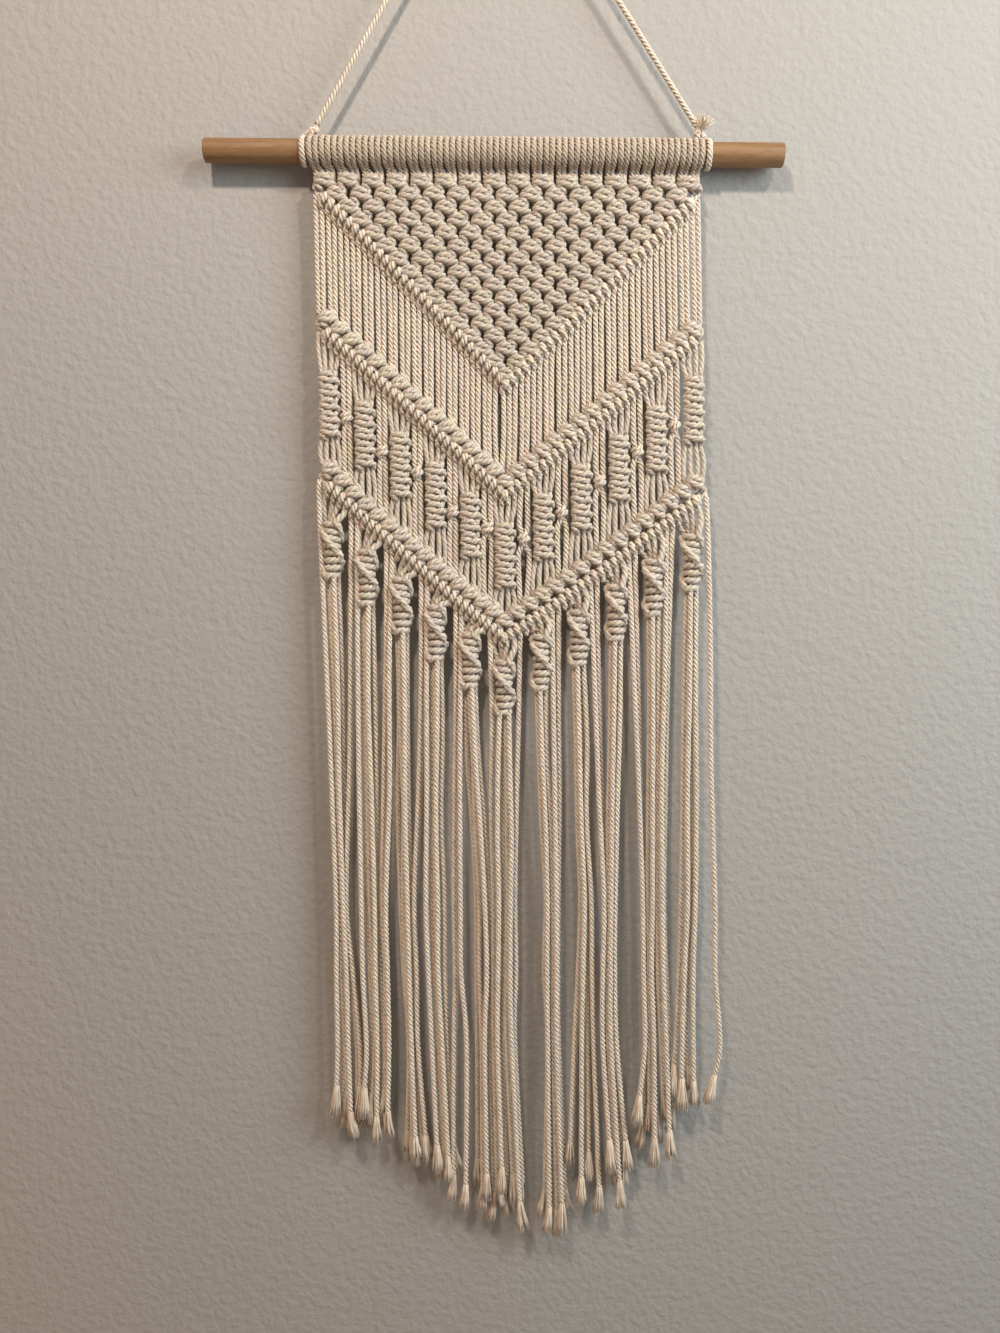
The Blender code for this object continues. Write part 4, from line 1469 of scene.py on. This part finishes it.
@dataclass
class HitchRow:
    """A V of double half hitches over two leaders that meet at the tip."""

    ENTER = (0.6, 4.6)
    LEAVE = ((-0.3, 5.4), (0.1, 6.0))
    SIZE_SPREAD = 0.04
    LEADER_POINTS = 12

    name: str
    level: Level
    node: str
    seed: int
    finish: Material
    drawn_slope: float = math.radians(-43.0)
    swell: float = 0.22

    def build(self) -> None:
        """Sweep the leaders and a hitch for each strand.

        Each hitch is turned from the slope that it is drawn for to that of its side. Its first
        turn lies back, its second stands out, and its end hooks over and drops plumb.
        """
        rope = CordMesh(self.name, self.seed, HITCH_PLY)
        for side, slots in ((1, np.arange(1.0, 32.0)), (-1, np.arange(62.0, 31.0, -1.0))):
            middles = Layout.points(slots, self.level.at(slots))
            x, z = middles[:, 0], middles[:, 2]
            slope = math.atan2(z[-1] - z[0], abs(x[-1] - x[0]))
            spin = np.full(len(slots), side * (slope - self.drawn_slope))
            scales = np.array([side, 1.0, 1.0]) * rope.random.normal(1.0, self.SIZE_SPREAD, (len(slots), 3))
            body = stamped(KnotShapes.HITCH, middles, spin, scales)
            deep, rise = self.ENTER
            enter = points_at(x, deep * MM, z + rise * MM)
            leave = [points_at(x, y * MM, z - drop * MM) for y, drop in self.LEAVE]
            rope.add(strung(enter, body, *leave), HITCH_STEP, thick=0.94, swell=self.swell)
            edge = 0.0 if side > 0 else Layout.LAST
            stops = np.linspace(edge, Layout.MIDDLE, self.LEADER_POINTS)
            lead = Layout.points(stops, self.level.at(stops))
            start = lead[0] + np.array(KnotShapes.LEADER_END) * (side, 1, 1) * MM
            rope.add(np.concatenate([start, lead[1:]])[None], LEADER_STEP, thick=0.95)
        rope.build(self.finish, self.node)


@dataclass
class KnotBand:
    """A V of square knots, each two slots on from the last and leaning to its side's slope."""

    name: str
    level: Level
    seed: int
    finish: Material
    knots: int = 31
    lean_left: float = math.radians(17.0)
    lean_right: float = math.radians(-15.0)

    def build(self) -> None:
        """Stamp the knots of both sides."""
        rope = CordMesh(self.name, self.seed, KNOT_PLY)
        slots = Layout.KNOT_SLOTS[0] + 2.0 * np.arange(self.knots)
        z = self.level.at(slots)
        centres = points_at(Layout.slot_x(slots, z), -0.2 * MM, z + 0.6 * MM)
        middle = np.abs(slots - Layout.MIDDLE) < 0.5
        lean = np.where(slots < Layout.MIDDLE, self.lean_left, self.lean_right)
        knots = SquareKnots(width=0.79, height=0.95, thick=1.04, swell=0.14, rise=0.16)
        knots.add_to(rope, centres, np.where(middle, 0.0, lean))
        rope.build(self.finish, "panel")


@dataclass
class Floats:
    """Strands that hang free between the first V and the second."""

    finish: Material
    pinch: float = 0.35 * MM
    parting: tuple[float, float] = (-1.5 * MM, 0.8 * MM)
    parting_slots: float = 2.5
    bow_spread: float = 0.16 * MM
    depth_spread: float = 0.25 * MM

    def build(self) -> None:
        """Sweep 64 strands that draw together in twos at their lower ends.

        Those by the middle part. How far each stands aside falls off exponentially with the slots
        between it and the middle, and along its length it is the square root of a sine.
        """
        rope = CordMesh("free_strands", 41)
        slots = np.arange(float(Layout.STRANDS))
        top = Layout.HITCH_1.at(slots) - 1.0 * MM
        low = Layout.KNOTS_2.by_knots(slots) + 2.2 * MM
        share = np.array([0.0, 0.06, 0.16, 0.4, 0.65, 0.88, 1.0])
        z = top[:, None] + (low - top)[:, None] * share
        draw = self.pinch * np.where(slots % 2 == 0, 1.0, -1.0)[:, None] * share
        swing = np.sin(math.pi * share)
        bow = rope.random.normal(0.0, self.bow_spread, (len(slots), 1)) * swing
        y = rope.random.normal(0.0, self.depth_spread, (len(slots), 1)) * swing
        away = np.abs(slots - Layout.MIDDLE + 0.5)
        part = np.where(slots < Layout.MIDDLE - 0.5, *self.parting) * np.exp(-away / self.parting_slots)
        apart = part[:, None] * np.sin(math.pi * np.clip(share * 1.1, 0.0, 1.0)) ** 0.5
        x = Layout.slot_x(slots[:, None], z) + draw + bow + apart
        rope.add(points_at(x, y, z), FREE_STEP, thick=0.92)
        rope.build(self.finish, "panel")


@dataclass
class Sinnets:
    """Eleven chains of five square knots under the second V, with their strands above and below."""

    DRAWN_PITCH = 6.57 * MM
    CORE_HEIGHTS = (1.0, 12.0, 23.0, 33.0)
    BOWS = (0.18, 0.24)

    finish: Material
    knots: int = 5
    width: float = 0.92
    rise: float = 0.10
    spread: float = 0.13 * MM

    def build(self) -> None:
        """Chain the square knot's points down each column and fan the ends to their slots."""
        rope = CordMesh("sinnet_chains", 51, KNOT_PLY)
        heads = Layout.sinnet_tops()
        pitch = Layout.SINNET_HEIGHT / self.knots
        for table, side, strand in ((KnotShapes.UPPER, -1, 0), (KnotShapes.LOWER, 1, 3)):
            local = np.array(table) * MM * np.array([self.width, 1.0, pitch / self.DRAWN_PITCH])
            local[:, 2] += self.rise * local[:, 0]
            chain = np.concatenate([local - [0.0, 0.0, pitch * (n + 0.5)] for n in range(self.knots)])
            chain = chain[None] + heads[:, None]
            chain = chain + rope.random.normal(0.0, self.spread, chain.shape)
            self._add(rope, chain, strand, side * 4.0 * MM)
        for strand, side in ((1, -1), (2, 1)):
            line = np.array([(side * 1.35 * MM, 0.2 * MM, -h * MM) for h in self.CORE_HEIGHTS])
            self._add(rope, line[None] + heads[:, None], strand, side * 1.6 * MM)
        rope.build(self.finish, "panel")

    def _add(self, rope: CordMesh, chain: Array, strand: int, reach: float) -> None:
        """Add one strand of every column, from its hitch through the chain to the next level.

        Args:
            rope: mesh that takes the cords.
            chain: points of the strand in each chain.
            strand: which of the column's slots it comes from.
            reach: how far beside the middle it enters and leaves the chain.
        """
        slots = Layout.column_slots(strand)
        heads = Layout.sinnet_tops()
        start = Layout.points(slots, Layout.HITCH_2.at(slots) - Layout.ENTRY)
        end = Layout.points(slots, Layout.KNOTS_3.by_knots(slots) + Layout.ENTRY)
        bends, nears = [], []
        for point, edge, up, bow in (
            (start, heads[:, 2], 1.0, self.BOWS[0]),
            (end, heads[:, 2] - Layout.SINNET_HEIGHT, -1.0, self.BOWS[1]),
        ):
            x = (point[:, 0] + heads[:, 0] + reach) / 2 + bow * reach
            bends.append(points_at(x, 0.1 * MM, (point[:, 2] + edge + up * MM) / 2))
            nears.append(points_at(heads[:, 0] + reach * 0.97, 0.0, edge + up * 1.6 * MM))
        end[:, 0] += Layout.drawn_in(slots)
        whole = strung(start, bends[0], nears[0], chain, nears[1], bends[1], end)
        rope.add(whole, KNOT_STEP, thick=0.96, swell=0.16)


@dataclass
class PairKnots:
    """Two strands between each two sinnets, one of them wrapped round the other once."""

    STRAND = 4.0
    TURN_SPREAD = math.radians(8.0)
    WRAP_SIZE = 0.95

    finish: Material
    drops: tuple[float, ...] = (
        0.0166, 0.0185, 0.0138, 0.0187, 0.0113, 0.0166, 0.0181, 0.0171, 0.0164, 0.0182,
    )
    spread: tuple[float, ...] = (
        0.0030, 0.0030, 0.0030, 0.0032, 0.0046, 0.0060, 0.0050, 0.0045, 0.0045, 0.0040,
    )

    def build(self) -> None:
        """Sweep a straight strand and a wrapping one for every pair."""
        rope = CordMesh("pair_knots", 61)
        tops = Layout.sinnet_tops()[:, 2]
        z = (tops[:-1] + tops[1:]) / 2 - np.array(self.drops)
        slots = Layout.column_slots(self.STRAND, Layout.COLUMNS - 1)
        x = Layout.slot_x(slots + 0.5, z)
        spin = rope.random.normal(0.0, self.TURN_SPREAD, len(x))
        scales = np.full((len(x), 3), self.WRAP_SIZE)
        wrap = stamped(KnotShapes.PAIR_WRAP, points_at(x, -0.6 * MM, z), spin, scales)
        straight = points_at(x, 0.0, z)[:, None] + np.array(KnotShapes.PAIR_STRAIGHT) * MM
        below = np.array(self.spread)
        above = 1.5 * MM + below / 2
        for body, first, last in ((straight, 0.0, 1.0), (wrap, 1.0, 0.0)):
            top, low = slots + first, slots + last
            rope.add(
                strung(
                    Layout.points(top, Layout.HITCH_2.at(top) - Layout.ENTRY),
                    points_at(x + (first - 0.5) * above, 0.1 * MM, z + 8.0 * MM),
                    body,
                    points_at(x + (last - 0.5) * below, 0.1 * MM, z - 9.0 * MM),
                    Layout.points(low, Layout.KNOTS_3.at(low) + Layout.ENTRY),
                ),
                KNOT_STEP,
            )
        rope.build(self.finish, "panel")


@dataclass
class Spirals:
    """Eleven sinnets of half knots, which turn by themselves as they go down."""

    DRAWN_STEP = 3.9
    CORE_HEIGHTS = (-1.0, -10.0, -20.0, -31.0)
    CORE_REACH = 1.2 * MM
    FAN_BOW = 1.6 * MM
    NECK = (0.0, 0.3 * MM, 2.2 * MM)
    FOOT_START, FOOT_SHARE, FOOT_NARROW = 0.85, 0.15, 0.25

    finish: Material
    half_knots: int = 8
    turn: float = math.radians(310.0)
    facing: float = 0.18
    width: float = 1.2
    spread: float = 0.12 * MM

    def shape(self, lead: int) -> Array:
        """Points of one working cord in a chain of half knots, before the chain is turned.

        The cord crosses the front from left to right in one half knot and the back from right to
        left in the next. It goes under the other cord's end, then over it, at each side.

        Args:
            lead: 0 for the cord that crosses the front first, 1 for the other.

        Returns:
            Points, with height 0 at the top of the chain.
        """
        step = Layout.SPIRAL_HEIGHT / MM / self.half_knots
        front = (*KnotShapes.HALF_FRONT, *KnotShapes.HALF_RIGHT)
        back = (*KnotShapes.HALF_BACK, *KnotShapes.HALF_LEFT)
        points: list[Point] = []
        for knot in range(self.half_knots):
            middle = -step * (knot + 0.5)
            rows = front if (knot + lead) % 2 == 0 else back
            points += [(x, y, middle + z * step / self.DRAWN_STEP) for x, y, z in rows]
        return np.array(points) * MM * np.array([self.width, self.width, 1.0])

    def build(self) -> None:
        """Sweep two working cords and two core strands for every spiral."""
        rope = CordMesh("spiral_chains", 71, KNOT_PLY)
        for lead, strand in ((0, 0), (1, 3)):
            self._add(rope, self.shape(lead), strand, self.FAN_BOW * (strand - 1.5) / 1.5)
        for strand, side in ((1, -1), (2, 1)):
            core = points_at(side * self.CORE_REACH, 0.0, np.array(self.CORE_HEIGHTS) * MM)
            self._add(rope, core, strand, 0.0)
        rope.build(self.finish, "fringe")

    def _add(self, rope: CordMesh, local: Array, strand: int, bow: float) -> None:
        """Turn a cord's points by their height, set them at every spiral and fan them from the hitches.

        Args:
            rope: mesh that takes the cords.
            local: points of the cord in a chain that isn't turned yet.
            strand: which of the spiral's slots it comes from.
            bow: how far it swings aside above the chain.
        """
        slots = np.array(Layout.SPIRAL_SLOTS, float) + strand
        share = np.clip(-local[:, 2] / Layout.SPIRAL_HEIGHT, 0.0, 1.0)
        angle = self.turn * (share - self.facing)
        foot = np.clip((share - self.FOOT_START) / self.FOOT_SHARE, 0.0, 1.0)
        narrow = 1.0 - self.FOOT_NARROW * foot
        x = (local[:, 0] * np.cos(angle) - local[:, 1] * np.sin(angle)) * narrow
        y = (local[:, 0] * np.sin(angle) + local[:, 1] * np.cos(angle)) * narrow
        chain = points_at(x, y, local[:, 2])[None] + Layout.spiral_tops()[:, None]
        chain = chain + rope.random.normal(0.0, self.spread, chain.shape)
        start = Layout.points(slots, Layout.HITCH_3.at(slots) - Layout.ENTRY)
        near = chain[:, 0] + np.array(self.NECK)
        half = (start + near) / 2 + np.array([bow, 0.0, 0.0])
        rope.add(strung(start, half, near, chain), KNOT_STEP, thick=1.06, swell=0.16)


@dataclass(frozen=True)
class Cluster:
    """Strands of the fringe that hang together: places and widths at three heights."""

    first: int
    count: int
    mid_x: float
    mid_width: float
    low_x: float
    low_width: float
    end_x: float
    end_width: float
    end_high: float
    end_low: float


@dataclass
class Fringe:
    """The free strands with their frayed ends, in three groups across the work."""

    GOLDEN = 0.618
    FOOT_RISE = 3.2 * MM
    FOOT_GAP = 1.7 * MM
    WAVER, WAVER_SHARES = 0.45 * MM, np.array([1.0, 0.25, 0.0])
    BEND_DOWN, BEND_OUT = 0.09, 0.9

    finish: Material
    fray: Material
    mid_z: float = -0.5620
    low_z: float = -0.6430
    layers: Point = (-0.0030, 0.0030, 0.0)
    edge_out: tuple[float, float] = (-0.0026, 0.0022)
    edge_root_rise: float = 3.0 * MM
    fray_length: float = 0.0108
    fray_in_cord: float = 3.0 * MM
    taper: float = 3.0 * MM
    locks: int = 84
    clusters: tuple[Cluster, ...] = (
        Cluster(0, 6, -0.0898, 0.0093, -0.0878, 0.0150, -0.0881, 0.0150, -0.6785, -0.6960),
        Cluster(6, 7, -0.0724, 0.0170, -0.0713, 0.0150, -0.0735, 0.0170, -0.6800, -0.6988),
        Cluster(13, 5, -0.0537, 0.0106, -0.0526, 0.0090, -0.0505, 0.0138, -0.7075, -0.7100),
        Cluster(18, 5, -0.0388, 0.0109, -0.0375, 0.0105, -0.0351, 0.0116, -0.7128, -0.7204),
        Cluster(23, 2, -0.0265, 0.0060, -0.0264, 0.0094, -0.0273, 0.0100, -0.7313, -0.7378),
        Cluster(25, 10, -0.0055, 0.0251, -0.0063, 0.0242, -0.0045, 0.0287, -0.7240, -0.7474),
        Cluster(35, 6, 0.0249, 0.0106, 0.0250, 0.0098, 0.0261, 0.0155, -0.7405, -0.7540),
        Cluster(41, 4, 0.0431, 0.0090, 0.0424, 0.0138, 0.0426, 0.0193, -0.7136, -0.7432),
        Cluster(45, 6, 0.0564, 0.0094, 0.0562, 0.0105, 0.0612, 0.0125, -0.7104, -0.7381),
        Cluster(51, 8, 0.0804, 0.0150, 0.0820, 0.0171, 0.0821, 0.0235, -0.6853, -0.7142),
        Cluster(59, 4, 0.1000, 0.0104, 0.0980, 0.0116, 0.0973, 0.0150, -0.6695, -0.6805),
        Cluster(63, 1, 0.1128, 0.0030, 0.1162, 0.0030, 0.1113, 0.0030, -0.6743, -0.6766),
    )
    groups: tuple[tuple[str, int, int], ...] = (
        ("fringe_left", 0, 23), ("fringe_middle", 23, 41), ("fringe_right", 41, 64),
    )

    def depth(self, slots: Array) -> Array:
        """Front to back place of each slot's strand, by turns in three layers."""
        return np.array(self.layers)[slots % 3]

    def roots(self) -> Array:
        """Where each strand starts: under the last hitches, or in the foot of its spiral.

        Returns:
            One point for each slot.
        """
        slots = np.arange(float(Layout.STRANDS))
        start = Layout.points(slots, Layout.HITCH_3.at(slots) - Layout.ENTRY)
        start[:, 0] += Layout.drawn_in(slots)
        start[[0, -1], 2] += self.edge_root_rise
        strands = np.arange(4)
        own = np.array(Layout.SPIRAL_SLOTS)[:, None] + strands
        x, _, z = np.moveaxis(Layout.spiral_tops()[:, None], -1, 0)
        foot = z - Layout.SPIRAL_HEIGHT + self.FOOT_RISE
        across = x + self.FOOT_GAP * (strands - 1.5)
        start[own] = points_at(across, 0.8 * self.depth(own), foot)
        return start

    def outwards(self) -> Array:
        """How far each strand swings out under its root: only the two at the edges do.

        Returns:
            One offset for each slot.
        """
        out = np.zeros((Layout.STRANDS, 3))
        out[[0, -1], 0] = self.edge_out
        return out

    def hung(self, group: Cluster, roots: Array) -> Array:
        """Points of a cluster's strands, from root to the start of the fray, in seven rows each.

        At each height the strands stand evenly over the cluster's width. Their ends lie between
        the highest and the lowest by steps of the golden section, which never line up.

        Args:
            group: the cluster.
            roots: where all strands start.

        Returns:
            Points by strand.
        """
        strand = np.arange(group.count)
        slots = group.first + strand
        share = strand / max(group.count - 1, 1) - 0.5 * (group.count > 1)
        end_z = group.end_high + (group.end_low - group.end_high) * ((strand * self.GOLDEN) % 1.0)
        layer = self.depth(slots)
        mid = group.mid_x + (group.mid_width - Layout.CORD) * share
        low = group.low_x + (group.low_width - Layout.CORD) * share
        end = group.end_x + (group.end_width - Layout.CORD) * share
        hung = roots[slots] + self.outwards()[slots]
        middle = points_at(mid, layer, self.mid_z)
        upper = []
        for down, settled in ((0.33, 0.5), (0.66, 0.8)):
            point = hung + (middle - hung) * down
            point[:, 1] += (layer - point[:, 1]) * settled
            upper.append(point)
        neck = end_z + self.fray_length
        along = (self.low_z - neck) / (self.low_z - end_z)
        return strung(
            roots[slots], *upper, middle,
            points_at((mid + low) / 2, layer, (self.mid_z + self.low_z) / 2),
            points_at(low, layer, self.low_z),
            points_at(low + (end - low) * along, layer, neck),
        )

    def build(self) -> None:
        """Sweep the strands with a slow waver, and set a brush of loose fibre on each end."""
        roots = self.roots()
        points = np.concatenate([self.hung(group, roots) for group in self.clusters])
        waver = np.random.default_rng(81).normal(0.0, self.WAVER, points.shape) * self.WAVER_SHARES
        waver[:, 0] = 0.0
        points = points + waver
        bend = points[:, 0] + (points[:, 1] - points[:, 0]) * self.BEND_DOWN
        bend = bend + self.BEND_OUT * self.outwards()
        points = strung(points[:, 0], bend, points[:, 1:])
        for name, first, last in self.groups:
            rope = CordMesh(name, first + 82)
            paths = rope.add(points[first:last], FREE_STEP, thick=0.94, taper=self.taper)
            rope.build(self.finish, "fringe")
            ways = unit(paths[:, -1] - paths[:, -4])
            length = self.fray_length + 4.6 * MM
            brush = Tuft(name + "_ends", first + 7, self.locks, length, 1.22 * MM, 2.1 * MM)
            brush.build(paths[:, -1] - ways * self.fray_in_cord, ways, self.fray, "fringe")


def main() -> None:
    """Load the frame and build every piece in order."""
    logging.basicConfig(level=logging.INFO, format="%(message)s")
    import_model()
    Studio().build()
    finishes = Finishes.build()
    cotton, knotted, fray = finishes.cotton, finishes.knotted, finishes.fray
    cord = HangingCord(cotton)
    left_knot, right_knot = (-0.0965, -0.0008, -0.1545), (0.1040, -0.0008, -0.1580)
    for piece in (
        cord,
        Dowel(finishes.wood),
        Heading(finishes.wrapped),
        Tie("left_tie_knot", "left_tie", 5, -0.1020, left_knot, cord.route[0], cotton),
        Tie("right_tie_knot", "right_tie", 6, 0.1087, right_knot, cord.route[-1], cotton, fray),
        Net(finishes.upper),
        HitchRow("hitches_first", Layout.HITCH_1, "panel", 31, cotton),
        Floats(cotton),
        KnotBand("knots_second", Layout.KNOTS_2, 32, knotted),
        HitchRow("hitches_second", Layout.HITCH_2, "panel", 33, cotton),
        Sinnets(knotted),
        PairKnots(cotton),
        KnotBand("knots_third", Layout.KNOTS_3, 34, knotted),
        HitchRow("hitches_third", Layout.HITCH_3, "fringe", 35, cotton),
        Spirals(knotted),
        Fringe(finishes.fringe, fray),
    ):
        piece.build()


if __name__ == "__main__":
    main()
